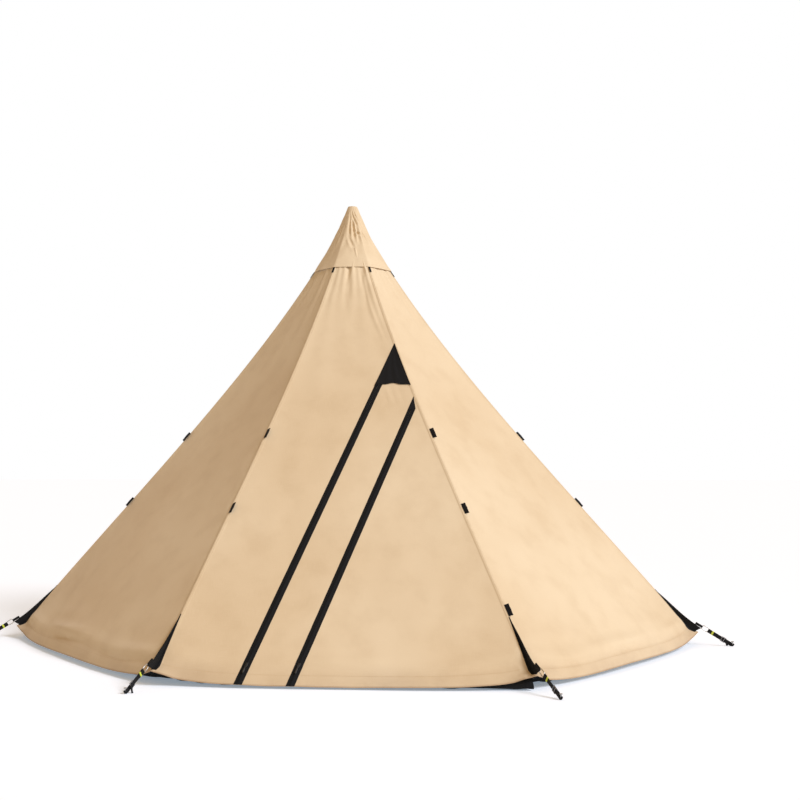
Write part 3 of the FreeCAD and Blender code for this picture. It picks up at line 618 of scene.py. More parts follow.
def fold_bend():
    """Two points square to the leaf's fold line, a bend's width apart."""
    low, high = [skin(0, FOLD_FOOT + FOLD_LEAN * height, height) for height in FOLD_MARKS]
    middle = (low + high) / 2
    up = (high - low) / np.linalg.norm(high - low)
    side = np.array([-1.0, 0, 0])
    side -= up * (side @ up)
    side /= np.linalg.norm(side)
    return middle, middle + side * BEND


LEAF_BEND = fold_bend()
STRIP_BEND = [skin(0, STRIP_MIDDLE, STRIP_TOP - depth) for depth in (0.0, STRIP_BEND_DEPTH)]


def bend_leaf(piece):
    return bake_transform(piece)


def bend_strip(piece):
    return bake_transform(piece)


def door_cloth(name, cloth):
    used = sorted({i for face in FRONT_CLOTHS[cloth] for i in face})
    place = {old: new for new, old in enumerate(used)}
    flat = FRONT_POINTS[used]
    faces = [tuple(place[i] for i in face) for face in FRONT_CLOTHS[cloth]]
    return thicken(shape(name, skin(0, flat[:, 0], flat[:, 1]), faces, CANVAS,
                         np.stack([flat[:, 0], run_up(flat[:, 1])], -1), cloth_marks(0, flat)), CANVAS_THICK)


leaf = bend_leaf(door_cloth("door_leaf_cloth", "leaf"))
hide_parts("door_leaf")
strip = bend_strip(door_cloth("door_strip_cloth", "strip"))
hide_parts("door_strip")


# ---------------------------------------------------------------- zips
# Each zip is two woven tapes with a nylon coil on the edge of each, stitched over the slit.
# A band of the same tape carries the left zip up to the patch; the right one ends on the seam.

HALF_TAPE = 0.024
TAPE_LIFT = 0.0016
PATCH_BASE = 1.722
TAPE_TUCK = 0.024
PATCH_TOP = 2.040
PATCH_APEX = float(min(z for z in np.linspace(1.9, PATCH_TOP, 200)
                       if LEFT_FOOT + ZIP_LEAN * z - HALF_TAPE > half_width(z) - 0.008))
BLACK = (0.0042, 0.0042, 0.0045, 1.0)
BLACK_WORN = (0.015, 0.0145, 0.014, 1.0)


def tape_finish(name, pitch, worn=0.20, sheen=0.03, ribs=0.0):
    """Black woven polyester, with its ribs, worn patches and dust."""
    material, start, shader = new_finish(name, BLACK, 0.6, Sheen_Weight=sheen, Sheen_Roughness=0.4)
    shader.inputs["Specular IOR Level"].default_value = 0.16
    flat = start.node("UVMap", {"uv_map": "cloth"})
    place = start.node("TexCoord", out=3)
    threads = weave(start, flat, pitch)
    dust = start.noise(place, 9.0, 4.0)
    fuzz = start.noise(start.stretched(flat, 700, 90), 1.0, 2.0)
    colour = (dust.fade(0.45, 0.85) * worn).mix(BLACK, BLACK_WORN)
    colour = (threads * 0.22).mix(colour, (0.018, 0.018, 0.019, 1.0))
    height = threads * 0.7 + fuzz * 0.5
    if ribs:
        lines = flat.node("SeparateXYZ", {}, {0: flat})
        height = height + (lines * (math.pi * 2 / ribs)).sine() * 0.35
    rough = 0.50 + dust * 0.22
    feed(shader, {"Base Color": colour, "Roughness": rough}, height, 0.0005, 0.9)
    return material


ZIP_TAPE = tape_finish("zip_tape", 0.0012)
COIL = tape_finish("zip_coil", 0.0009, worn=0.12, sheen=0.02)


def tape_band(name, foot, offsets, low, high, lifts, material, bevel=0.0):
    """A band of tape that follows a zip over the cloth, from the hem or a height up to another."""
    offsets, lifts = np.array(offsets), np.array(lifts)
    count = max(8, int((high - max(low, 0.05)) / 0.011))
    rows, flats = [], []
    for t in np.linspace(0, 1, count):
        top = high + bevel * (offsets - offsets[0])
        rough_x = foot + ZIP_LEAN * low + offsets
        base = np.maximum(low, hem_height(0, rough_x / half_width(0.0)) + 0.001)
        height = base + (top - base) * t
        across = foot + ZIP_LEAN * height + offsets
        rows.append(skin(0, across, height, lifts))
        flats.append(np.stack([offsets, run_up(height)], -1))
    points = np.array(rows).reshape(-1, 3)
    return shape(name, points, grid_faces(count, len(offsets)), material,
                 np.array(flats).reshape(-1, 2))


def half_zip(side, foot, high, name, ride_on, tape_node, coil_node, tape_high=None):
    """One side of a zip: its tape, raised beside the teeth, and its row of nylon teeth."""
    near, far = 0.0006, HALF_TAPE
    spread = np.array([near, 0.003, 0.0055, 0.009, 0.014, 0.0195, 0.0225, far])
    lifts = TAPE_LIFT + 0.0016 * np.exp(-((spread - 0.0055) / 0.0035) ** 2)
    lifts = lifts + 0.0005 * np.exp(-((spread - 0.0205) / 0.0016) ** 2)
    lifts[-1] = 0.0004
    order = slice(None) if side > 0 else slice(None, None, -1)
    tape = tape_band(f"{name}_tape", foot, (side * spread)[order], 0.0, tape_high or high,
                     lifts[order], ZIP_TAPE)
    thicken(tape, 0.0009)
    pitch = 0.0030
    low = float(hem_height(0, foot / half_width(0.0))) + 0.002
    steps = int((high - low) / pitch) * 2
    heights = np.linspace(low, high, steps)
    swellings = np.where(np.arange(steps) % 2, 1.0, 0.62)
    profile = [(0.0002, 0.0012), (0.0034, 0.0010), (0.0040, 0.0026), (0.0024, 0.0050), (0.0002, 0.0052)]
    rows = []
    for height, fat in zip(heights, swellings):
        offsets = np.array([side * p[0] for p in profile])
        ups = np.array([0.0012 + (p[1] - 0.0012) * fat for p in profile]) + 0.0004
        across = foot + ZIP_LEAN * height + offsets
        rows.append(skin(0, across, np.full(len(offsets), height), ups))
    points = np.array(rows).reshape(-1, 3)
    faces = grid_faces(steps, len(profile), wrap=True)
    faces = [face[::-1] if side > 0 else face for face in faces]
    flats = np.stack([np.tile(np.arange(len(profile)) * 0.0035, steps),
                      np.repeat(run_up(heights), len(profile))], -1)
    coil = shape(f"{name}_coil", points, faces, COIL, flats, sharp=60)
    for piece, node, slot in ((tape, tape_node, "zip_tape"), (coil, coil_node, "zip_coil")):
        ride_on(piece)
        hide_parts(node)


def on_root(piece):
    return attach(piece, "root")


half_zip(-1, LEFT_FOOT, STRIP_TOP, "zip_frame", on_root, "zip_tape_frame", "zip_coil_frame",
         PATCH_BASE + TAPE_TUCK)
half_zip(1, LEFT_FOOT, STRIP_TOP - 0.001, "zip_strip_left", bend_strip,
         "zip_tape_strip_left", "zip_coil_strip_left")
half_zip(-1, RIGHT_FOOT, STRIP_TOP - 0.001, "zip_strip_right", bend_strip,
         "zip_tape_strip_right", "zip_coil_strip_right")
half_zip(1, RIGHT_FOOT, LEAF_TOP - 0.001, "zip_leaf", bend_leaf, "zip_tape_leaf", "zip_coil_leaf")

left_end = tape_band("zip_end_band", LEFT_FOOT, [0.0, 0.006, 0.012, 0.0195, 0.0225, 0.024],
                     STRIP_TOP - 0.004, PATCH_BASE + TAPE_TUCK,
                     [0.0030, 0.0028, 0.0026, 0.0026, 0.0030, 0.0010], ZIP_TAPE)
right_end = tape_band("zip_end_bevel", RIGHT_FOOT, [-0.024, -0.0225, -0.012, 0.0, 0.012, 0.0225, 0.024],
                      STRIP_TOP - 0.004, STRIP_TOP + 0.088,
                      [0.0012, 0.0034, 0.0030, 0.0030, 0.0030, 0.0034, 0.0012], ZIP_TAPE, bevel=-1.72)
right_low = tape_band("zip_end_slip", RIGHT_FOOT, [0.001, 0.012, 0.0225, 0.024], LEAF_TOP - 0.004,
                      STRIP_TOP - 0.002, [0.0032, 0.0030, 0.0034, 0.0012], ZIP_TAPE)
for piece, nodes in ((left_end, ["zip_end_left"]), (right_end, ["zip_end_right"]), (right_low, [])):
    thicken(piece, 0.0011)
    hand_over(piece, "root", "zip_tape", *nodes)


# ---------------------------------------------------------------- patch
# A triangle of black pack cloth covers the head of the left zip; one side lies along the seam.
# It is turned under all round and stitched, and its foot is pulled into a shallow arch.

CORDURA = tape_finish("black_cordura", 0.0026, worn=0.18, sheen=0.04)


def build_patch():
    rows, flats = [], []
    for t in np.linspace(0, 1, 30) ** 0.9:
        w = np.linspace(0, 1, 16)
        height = PATCH_BASE + (PATCH_APEX - PATCH_BASE) * t
        arch = (1 - t) * (0.016 * np.sin(math.pi * w) ** 0.8 + 0.0035 * np.sin(w * 15))
        height = np.full(len(w), height) + arch
        right = half_width(height) - 0.006
        left = np.minimum(LEFT_FOOT + ZIP_LEAN * height - HALF_TAPE, right - 0.001)
        across = left + (right - left) * w
        edge = np.minimum(np.minimum(w, 1 - w) * (right - left), t * 0.3 + 0.002)
        over_tape = 0.0026 * math.exp(-(t / 0.12) ** 2)
        lift = 0.0026 + over_tape + 0.0012 * np.exp(-((edge - 0.004) / 0.003) ** 2)
        lift = lift + 0.0016 * (1 - t) * np.sin(w * 21 + t * 6) * np.sin(math.pi * w)
        rows.append(skin(0, across, height, lift))
        flats.append(np.stack([across, run_up(height)], -1))
    return shape("door_patch_cloth", np.array(rows).reshape(-1, 3), grid_faces(30, 16), CORDURA,
                 np.array(flats).reshape(-1, 2))


patch = thicken(build_patch(), 0.0014)
hand_over(patch, "root", "black_cordura", "door_patch")


# ---------------------------------------------------------------- sliders
# Die-cast sliders with a bridge; each pull is a flat stadium-shaped ring with a ribbed grip.
# They run in front of the coils, so they are built on the zip's own line and slope.

STEEL = (0.60, 0.59, 0.57, 1.0)
GUNMETAL = (0.060, 0.058, 0.056, 1.0)


def metal_finish(name, colour, roughness, scratch=60.0, spots=0.3):
    """Bare or plated metal, with fine scratches, dull patches and a little tarnish."""
    material, start, shader = new_finish(name, colour, roughness, Metallic=1.0)
    place = start.node("TexCoord", out=3)
    dull = start.noise(place, 45.0, 4.0)
    lines = start.noise(start.stretched(place, 40, 40, 900), scratch / 60.0, 3.0)
    dark = tuple(c * 0.55 for c in colour[:3]) + (1.0,)
    tint = (dull.fade(0.45, 0.8) * spots).mix(colour, dark)
    rough = roughness + dull * 0.16 + lines * 0.10
    feed(shader, {"Base Color": tint, "Roughness": rough}, lines * 0.6 + dull * 0.4, 0.00008, 0.6)
    return material


ZIP_METAL = metal_finish("zip_metal", GUNMETAL, 0.30)
PULL_METAL = metal_finish("pull_metal", (0.085, 0.083, 0.080, 1.0), 0.34)


def rounded(width, thick, radius, steps=3):
    """A rectangle with round corners, as a section about its centre, anticlockwise."""
    made = []
    for cx, cy, start in ((1, 1, 0), (-1, 1, 90), (-1, -1, 180), (1, -1, 270)):
        for k in range(steps + 1):
            turn = math.radians(start + 90 * k / steps)
            made.append((cx * (width / 2 - radius) + math.cos(turn) * radius,
                         cy * (thick / 2 - radius) + math.sin(turn) * radius))
    return made


def swept(spine, across, out, section, scales=None, close=False):
    """A section carried along a spine: points, faces and cloth coordinates for each corner."""
    spine, section = np.array(spine, float), np.array(section, float)
    across = np.broadcast_to(np.array(across, float), spine.shape)
    out = np.broadcast_to(np.array(out, float), spine.shape)
    scales = np.ones((len(spine), 2)) if scales is None else np.array(scales, float)
    count, corners = len(spine), len(section)
    points = (spine[:, None] + section[None, :, :1] * scales[:, None, :1] * across[:, None]
              + section[None, :, 1:] * scales[:, None, 1:] * out[:, None]).reshape(-1, 3)
    faces = grid_faces(count, corners, wrap=True, close=close)
    girth = np.concatenate([[0], np.cumsum(np.linalg.norm(np.diff(
        np.vstack([section, section[:1]]), axis=0), axis=1))])
    run = np.concatenate([[0], np.cumsum(np.linalg.norm(np.diff(
        np.vstack([spine, spine[:1]]), axis=0), axis=1))])
    flats = []
    for i in range(count if close else count - 1):
        for j in range(corners):
            flats += [(girth[j], run[i]), (girth[j + 1], run[i]),
                      (girth[j + 1], run[i + 1]), (girth[j], run[i + 1])]
    if not close:
        faces.append(tuple(reversed(range(corners))))
        faces.append(tuple(range((count - 1) * corners, count * corners)))
        flats += [tuple(section[j]) for j in reversed(range(corners))]
        flats += [tuple(section[j]) for j in range(corners)]
    return points, faces, flats


def built(name, bodies, material, turn=None, sharp=40.0):
    """One piece from several swept bodies, placed by a matrix."""
    points, faces, flats, count = [], [], [], 0
    for body_points, body_faces, body_flats in bodies:
        points.append(body_points)
        faces += [tuple(i + count for i in face) for face in body_faces]
        flats += body_flats
        count += len(body_points)
    points = np.concatenate(points)
    if turn is not None:
        turn = np.array(turn)
        points = points @ turn[:3, :3].T + turn[:3, 3]
    made = shape(name, points, faces, material, flats, sharp=sharp)
    bm = bmesh.new()
    bm.from_mesh(made.data)
    bmesh.ops.recalc_face_normals(bm, faces=bm.faces)
    bm.to_mesh(made.data)
    bm.free()
    return made


def round_section(radius, steps=10):
    return [(math.cos(2 * math.pi * k / steps) * radius, math.sin(2 * math.pi * k / steps) * radius)
            for k in range(steps)]


def tangents(spine, close=False):
    """Directions along a line of points."""
    spine = np.array(spine, float)
    if close:
        ahead = np.roll(spine, -1, 0) - np.roll(spine, 1, 0)
    else:
        ahead = np.gradient(spine, axis=0)
    return ahead / np.linalg.norm(ahead, axis=1)[:, None]


def along_line(spine, normal, section, scales=None, close=False):
    """A section swept along a flat curve whose plane has this normal."""
    out = np.broadcast_to(np.array(normal, float), np.array(spine).shape)
    across = np.cross(out, tangents(spine, close))
    return swept(spine, across, out, section, scales, close)


def stadium(length, width, steps=7, start=0.0):
    """A closed line of two straights and two half circles in the XY plane, from X = start."""
    radius = width / 2
    made = []
    for k in range(steps + 1):
        turn = math.pi / 2 + math.pi * k / steps
        made.append((start + radius + math.cos(turn) * radius, math.sin(turn) * radius, 0))
    for k in range(steps + 1):
        turn = -math.pi / 2 + math.pi * k / steps
        made.append((start + length - radius + math.cos(turn) * radius, math.sin(turn) * radius, 0))
    return made


SLIDER_START = 0.110
SLIDER_LENGTH, SLIDER_WIDTH = 0.026, 0.014
COIL_HEIGHT = 0.0052


def zip_frame(foot):
    """A place on the bare face: X runs up the zip, Y across it and Z out of the cloth."""
    face = math.cos(HALF_PANEL)

    def point(z):
        return np.array([foot + ZIP_LEAN * z, -seam_radius(z) * face, z])

    up = point(SLIDER_START + 0.05) - point(SLIDER_START - 0.05)
    up /= np.linalg.norm(up)
    out = np.cross([1.0, 0, 0], up)
    out /= np.linalg.norm(out)
    side = np.cross(out, up)
    turn = np.eye(4)
    turn[:3, 0], turn[:3, 1], turn[:3, 2] = up, side, out
    turn[:3, 3] = point(SLIDER_START) + out * COIL_HEIGHT
    return turn


def slider_bodies():
    """The slider's two winged plates, its neck and its bridge, on the coil's surface."""
    bodies = []
    half = SLIDER_LENGTH / 2
    stations = np.linspace(-half, half, 13)
    widths = 1 - 0.34 * ease(0.1, 1.0, np.abs(stations) / half) * (stations < 0)
    widths = widths - 0.10 * ease(0.55, 1.0, np.abs(stations) / half)
    spine = [(x, 0, 0) for x in stations]
    for z, thick, grow in ((0.0098, 0.0022, 1.0), (0.0003, 0.0012, 1.0)):
        section = rounded(SLIDER_WIDTH * grow, thick, thick * 0.42)
        scales = [(w, 1) for w in widths]
        bodies.append(swept(np.array(spine) + (0, 0, z), (0, 1, 0), (0, 0, 1), section, scales))
    for side in (-1, 1):
        wall = [(x, side * w * SLIDER_WIDTH / 2 * 0.90, 0.0050) for x, w in zip(stations, widths)]
        bodies.append(swept(wall[:9], (0, 1, 0), (0, 0, 1), rounded(0.0012, 0.0096, 0.0005)))
    bodies.append(swept([(x, 0, 0.0055) for x in (0.007, 0.0085, 0.0105, 0.012)], (0, 1, 0), (0, 0, 1),
                        rounded(0.0045, 0.010, 0.0012)))
    arch = [(-0.007 + 0.014 * t, 0, 0.0105 + 0.0042 * math.sin(math.pi * t) ** 0.6) for t in
            np.linspace(0, 1, 13)]
    bodies.append(along_line(arch, (0, 1, 0), rounded(0.0018, 0.0040, 0.0006)))
    return bodies


def pull_bodies():
    """A pull hanging down the zip: a ring through the bridge, a neck and a ribbed grip."""
    bodies = [along_line(np.array(stadium(0.017, 0.0075, start=-0.018)) + (0, 0, 0.0132), (0, 0, 1),
                         rounded(0.0015, 0.0015, 0.0006), close=True)]
    stations = np.linspace(-0.053, -0.016, 26)
    widths = 0.62 + 0.38 * ease(0.0, 0.4, (-0.016 - stations) / 0.037)
    widths = widths * (1 - 0.5 * ease(0.90, 1.0, (-0.016 - stations) / 0.037) ** 2)
    ribs = 1 + 0.28 * (np.sin(stations * 1900) > 0) * (stations < -0.028)
    bodies.append(swept([(x, 0, 0.0132) for x in stations], (0, 1, 0), (0, 0, 1),
                        rounded(0.009, 0.0022, 0.0009), [(w, r) for w, r in zip(widths, ribs)]))
    return bodies


for side, foot in (("left", LEFT_FOOT), ("right", RIGHT_FOOT)):
    runner = built(f"slider_{side}", slider_bodies(), ZIP_METAL, zip_frame(foot))
    hand_over(runner, f"zip_slider_{side}", "zip_metal", f"zip_slider_{side}")
    pull = built(f"pull_{side}", pull_bodies(), PULL_METAL, zip_frame(foot))
    hand_over(pull, f"zip_pull_{side}", "pull_metal", f"zip_pull_{side}")


# ---------------------------------------------------------------- hem, mud flap and seam webbing
# Inside the canopy, a band doubles the hem, a webbing is sewn up each seam from hem to top,
# and a dark coated flap hangs to the ground and lies inwards, to keep out wind and rain.

WEBBING = tape_finish("black_webbing", 0.0020, worn=0.22, sheen=0.04, ribs=0.0052)
FLAP_CLOTH = tape_finish("mud_flap_cloth", 0.0022, worn=0.60, sheen=0.03)


def inner_band():
    """The hem's second layer, just inside the canopy on the six plain panels."""
    points, faces, flats, marks = [], [], [], {"from_seam": [], "above_hem": []}
    count = 0
    climbs = np.array([0.001, 0.012, 0.026, 0.040, 0.052, 0.060])
    for panel in range(1, SIDES):
        shares = np.linspace(-0.955, 0.955, 60)
        foot = hem_height(panel, shares)
        height = foot[None] + climbs[:, None]
        across = shares[None] * half_width(height)
        grid = skin(panel, across, height, -0.0030)
        points.append(grid.reshape(-1, 3))
        faces += grid_faces(len(climbs), len(shares), start=count)
        flats.append(np.stack([across, run_up(height)], -1).reshape(-1, 2))
        marks["from_seam"].append(np.full(across.size, 0.5))
        marks["above_hem"].append(np.broadcast_to(climbs[:, None], across.shape).ravel())
        count += across.size
    marks = {mark: np.concatenate(values) for mark, values in marks.items()}
    return shape("hem_lining", np.concatenate(points), faces, CANVAS, np.concatenate(flats), marks)


lining = thicken(inner_band(), 0.0012)
hand_over(lining, "root", "canvas", "hem_bands")


FLAP_TUCK = 0.16
FLAP_COLUMNS = 110


def flap():
    """The flap's section: down inside the hem, round at the ground and inwards along it."""
    points, faces, flats, count = [], [], [], 0
    drop = np.array([0.095, 0.080, 0.064, 0.048, 0.034, 0.022, 0.013, 0.0075, 0.0045, 0.0030,
                     0.0030, 0.0030, 0.0030, 0.0030, 0.0030])
    inset = np.array([0.018, 0.019, 0.021, 0.024, 0.027, 0.033, 0.039, 0.046, 0.055, 0.067,
                      0.082, 0.098, 0.114, 0.132, 0.150])
    run = np.concatenate([[0], np.cumsum(np.hypot(np.diff(drop), np.diff(inset)))])
    for panel in range(SIDES):
        middle = math.radians(-90) + panel * 2 * HALF_PANEL
        out = np.array([math.cos(middle), math.sin(middle), 0])
        side = np.array([-math.sin(middle), math.cos(middle), 0])
        reach = half_width(0.0) - 0.003
        shares = np.linspace(-1, 1, FLAP_COLUMNS)
        near_corner = np.abs(shares) ** 4
        if panel == 0:
            near_corner = near_corner * (shares < 0)
        across = np.linspace(-reach, reach, FLAP_COLUMNS)
        for level, depth, length in zip(drop, inset, run):
            waves = 0.006 * ripple(across * 3.5, length * 4 + np.zeros_like(across), 131 + panel)
            waves = waves + 0.003 * ripple(across * 9, length * 8 + np.zeros_like(across), 151 + panel)
            fade = ease(0.0, 0.05, length)
            apothem = seam_radius(level) * math.cos(HALF_PANEL) - depth - np.abs(waves) * fade
            apothem = apothem - FLAP_TUCK * near_corner * ease(0.0, 0.08, length)
            squeeze = apothem / (seam_radius(0.0) * math.cos(HALF_PANEL))
            up = level + (0.004 * fade * (1 + ripple(across * 5, length * 9 + 0 * across, 171 + panel)))
            row = out * apothem[:, None] + side * (across * squeeze)[:, None]
            row[:, 2] = np.maximum(up, 0.0026)
            points.append(row)
            flats.append(np.stack([across, np.full(len(across), length)], -1))
        faces += grid_faces(len(drop), len(across), start=count)
        count += len(drop) * len(across)
    return shape("mud_flap", np.concatenate(points), faces, FLAP_CLOTH, np.concatenate(flats))


mud_flap = thicken(flap(), 0.0012, 1.0)
hand_over(mud_flap, "root", "mud_flap_cloth", "mud_flaps")


def seam_turns():
    """The directions of the seven seams."""
    return [math.radians(-90) + (k + 0.5) * 2 * HALF_PANEL for k in range(SIDES)]


def around_pole(turn):
    return Matrix.Rotation(turn, 4, "Z")


GROUND_CLEAR = 0.0012


def all_corners(bodies, place=Matrix.Identity(4), seams=SIDES):
    """Copies of bodies laid out at +X, one set at each seam, none of them below the ground."""
    made = []
    for turn in seam_turns()[:seams]:
        matrix = np.array(around_pole(turn) @ place)
        for points, faces, flats in bodies:
            laid = points @ matrix[:3, :3].T + matrix[:3, 3]
            laid[:, 2] = np.maximum(laid[:, 2], GROUND_CLEAR + points[:, 1] * 0.05)
            made.append((laid, faces, flats))
    return made


def seam_webbing():
    """A webbing folded into the seam's angle, on the inside."""
    heights = np.linspace(HEM_CORNER + 0.004, CANOPY_TOP - 0.004, 90)
    spine = np.stack([seam_radius(heights) - 0.0034, 0 * heights, heights], -1)
    ahead = tangents(spine)
    out = np.stack([ahead[:, 2], 0 * heights, -ahead[:, 0]], -1)
    fall = math.tan(HALF_PANEL)
    top = [(y, -abs(y) * fall) for y in (0.0125, 0.008, 0.004, 0, -0.004, -0.008, -0.0125)]
    low = [(y, z - 0.0014) for y, z in reversed(top)]
    return swept(spine, (0, 1, 0), out, top + low)


seam_tape = built("seam_webbing", all_corners([seam_webbing()]), WEBBING)
hand_over(seam_tape, "root", "black_webbing", "seam_webbings")


# ---------------------------------------------------------------- guy loops
# Short lengths of black webbing, folded in half round a small eye and caught in every seam
# at two heights, with one more low beside the door. Each stands off the cloth and leans to one side.

LOOP_LEAN = math.radians(25.0)
LOOP_LENGTH, LOOP_REACH = 0.075, 0.028
LOOPS = tuple(zip(("guy_loops_upper", "guy_loops_lower", "door_tie_loop"), LOOP_HEIGHTS, (SIDES, SIDES, 1)))


def seam_frame(height, gap=0.003):
    """A place on the seam at +X: X runs up the seam, Y across it and Z into the tent."""
    slope = float(np.polyval(SEAM_SLOPE, height))
    up = Vector((slope, 0, 1)).normalized()
    side = Vector((0, 1, 0))
    inward = up.cross(side)
    turn = Matrix((up, side, inward)).transposed().to_4x4()
    turn.translation = (float(seam_radius(height)) + gap, 0, height)
    return turn


def loop_bodies():
    """A folded webbing whose two layers part round an eye at its outer edge."""
    reach = LOOP_REACH
    outline = [(0.0, -0.0015), (reach * 0.5, -0.0015), (reach * 0.66, -0.0028), (reach * 0.84, -0.0038),
               (reach * 0.97, -0.0024), (reach, 0.0), (reach * 0.97, 0.0024), (reach * 0.84, 0.0038),
               (reach * 0.66, 0.0028), (reach * 0.5, 0.0015), (0.0, 0.0015)]
    hollow = [(x - 0.0022 if x > reach * 0.6 else x, z * 0.42 if abs(z) > 0.0016 else z * 0.05)
              for x, z in reversed(outline[1:-1])]
    stations = np.linspace(-LOOP_LENGTH / 2, LOOP_LENGTH / 2, 15)
    spine = [(x, 0, 0) for x in stations]
    curl = [(1 - 0.05 * abs(math.sin(x * 70)), 1 + 0.2 * math.sin(x * 90 + 1)) for x in stations]
    bodies = [swept(spine, (0, 1, 0), (0, 0, 1), outline + hollow, curl)]
    for row in (0.0045, 0.0105):
        for start in np.arange(-0.034, 0.034, 0.0044):
            for face in (-1, 1):
                bodies.append(swept([(start, row, face * 0.0017), (start + 0.0015, row, face * 0.0022),
                                     (start + 0.0030, row, face * 0.0017)], (0, 1, 0), (0, 0, 1),
                                    round_section(0.0004, 5)))
    return bodies


for label, level, seams in LOOPS:
    leaning = seam_frame(level) @ Matrix.Rotation(-LOOP_LEAN, 4, "X")
    tabs = built(label + "_webbing", all_corners(loop_bodies(), leaning, seams), WEBBING)
    hand_over(tabs, "root", "black_webbing", label)


# ---------------------------------------------------------------- corner tie-downs
# At the foot of each seam a gusset of black pack cloth is sewn over the canvas. It ends in a
# webbing tongue round a steel ring, and from the ring a strap runs down to a peg.

FIN_TOP, FIN_FOOT = 0.350, 0.082
RING_HEIGHT = 0.128
FIN_REACH = 0.052
RING_AT = float(seam_radius(FIN_FOOT)) + FIN_REACH
RING_GAP = 0.008
STRAP_DROP = math.radians(31.0)
PEG_AT = 2.6055
RING_LENGTH, RING_WIDTH, RING_WIRE = 0.054, 0.033, 0.0028
STRAP_WIDTH = 0.026
STRAP_START = RING_LENGTH + RING_GAP * 2
STRAP_LENGTH = 0.157


def strap_frame():
    """The ring's place at +X: X runs out and down along the strap, Z is across its width."""
    turn = Matrix.Rotation(STRAP_DROP, 4, "Y")
    turn.translation = (RING_AT, 0, RING_HEIGHT)
    return turn


def fin_plate():
    """The gusset's free part: two layers of cloth, thin at the bound outer edge."""
    rows = 26
    points, flats = [], []
    for t in np.linspace(0, 1, rows):
        height = FIN_FOOT + (FIN_TOP - FIN_FOOT) * t
        inner = float(seam_radius(height)) + 0.001
        outer_z = RING_HEIGHT - 0.016 + (FIN_TOP - RING_HEIGHT + 0.016) * t
        outer = RING_AT + 0.004 + (float(seam_radius(FIN_TOP)) + 0.004 - RING_AT - 0.004) * t
        outer = outer - 0.020 * math.sin(math.pi * t) * (1 - t)
        for w in np.linspace(0, 1, 9):
            x, z = inner + (outer - inner) * w, height + (outer_z - height) * w
            points.append((x, 0.0035 * math.sin(t * 7 + w * 3) * w * (1 - t), z))
            flats.append((w * 0.1, t * 0.3))
    return points, flats, rows, 9


def corner_gussets():
    points, faces, flats, count = [], [], [], 0
    plate, plate_flats, rows, columns = fin_plate()
    plate = np.array(plate)
    for turn in seam_turns():
        matrix = np.array(around_pole(turn))
        points.append(plate @ matrix[:3, :3].T)
        faces += grid_faces(rows, columns, start=count)
        flats += plate_flats
        count += len(plate)
    return shape("corner_gussets", np.concatenate(points), faces, CORDURA, flats)


def corner_wings():
    """The gusset's two sewn wings, one on each panel beside the seam."""
    points, faces, flats, count = [], [], [], 0
    for panel in range(SIDES):
        for side in (-1, 1):
            for t in np.linspace(0, 1, 24):
                height = np.full(6, HEM_CORNER + 0.010 + (FIN_TOP + 0.012 - HEM_CORNER - 0.010) * t)
                width = 0.016 * (1 - t) ** 0.9 + 0.003
                inward = np.linspace(0, width, 6)
                across = side * (half_width(height) - inward)
                lift = 0.0016 + 0.0006 * np.exp(-((inward - width + 0.003) / 0.002) ** 2)
                points.append(skin(panel, across, height, lift))
                flats.append(np.stack([inward, run_up(height)], -1))
            grid = grid_faces(24, 6, start=count)
            faces += grid if side < 0 else [face[::-1] for face in grid]
            count += 24 * 6
    return shape("corner_wings", np.concatenate(points), faces, CORDURA, np.concatenate(flats))


gussets = thicken(corner_gussets(), 0.0030, 0.0)
wings = thicken(corner_wings(), 0.0012)
for piece in (gussets, wings):
    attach(piece, "root")
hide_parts("corner_fins")

RING_STEEL = metal_finish("ring_steel", STEEL, 0.22)


def ring_body():
    spine = [(x + RING_GAP, 0, z) for x, z, _ in stadium(RING_LENGTH - RING_WIRE * 2,
                                                         RING_WIDTH - RING_WIRE * 2, 10, RING_WIRE)]
    return along_line(spine, (0, 1, 0), round_section(RING_WIRE, 12), close=True)


def webbing_section(width, thick):
    """A woven webbing's section: flat faces with a fuller, rounder edge on each side."""
    w, t = width / 2, thick / 2
    return [(w, 0), (w - t * 0.4, t * 0.9), (w - t * 1.6, t * 1.08), (w - t * 3.2, t * 0.9), (0, t * 0.94),
            (-w + t * 3.2, t * 0.9), (-w + t * 1.6, t * 1.08), (-w + t * 0.4, t * 0.9),
            (-w, 0), (-w + t * 0.4, -t * 0.9), (-w + t * 1.6, -t * 1.08), (-w + t * 3.2, -t * 0.9),
            (0, -t * 0.94), (w - t * 3.2, -t * 0.9), (w - t * 1.6, -t * 1.08), (w - t * 0.4, -t * 0.9)]


def flat_strap(spine, width, thick, twist=None):
    """Webbing along a line in the XY plane, its width along Z."""
    ahead = tangents(spine)
    out = np.cross(ahead, (0.0, 0, 1))
    across = np.broadcast_to(np.array([0.0, 0, 1]), out.shape)
    if twist is not None:
        c, s = np.cos(twist)[:, None], np.sin(twist)[:, None]
        across, out = across * c + out * s, out * c - across * s
    return swept(spine, across, out, webbing_section(width, thick))


def round_turn(x, radius, start, stop, steps=8):
    return [(x + math.cos(math.radians(a)) * radius, math.sin(math.radians(a)) * radius, 0)
            for a in np.linspace(start, stop, steps)]


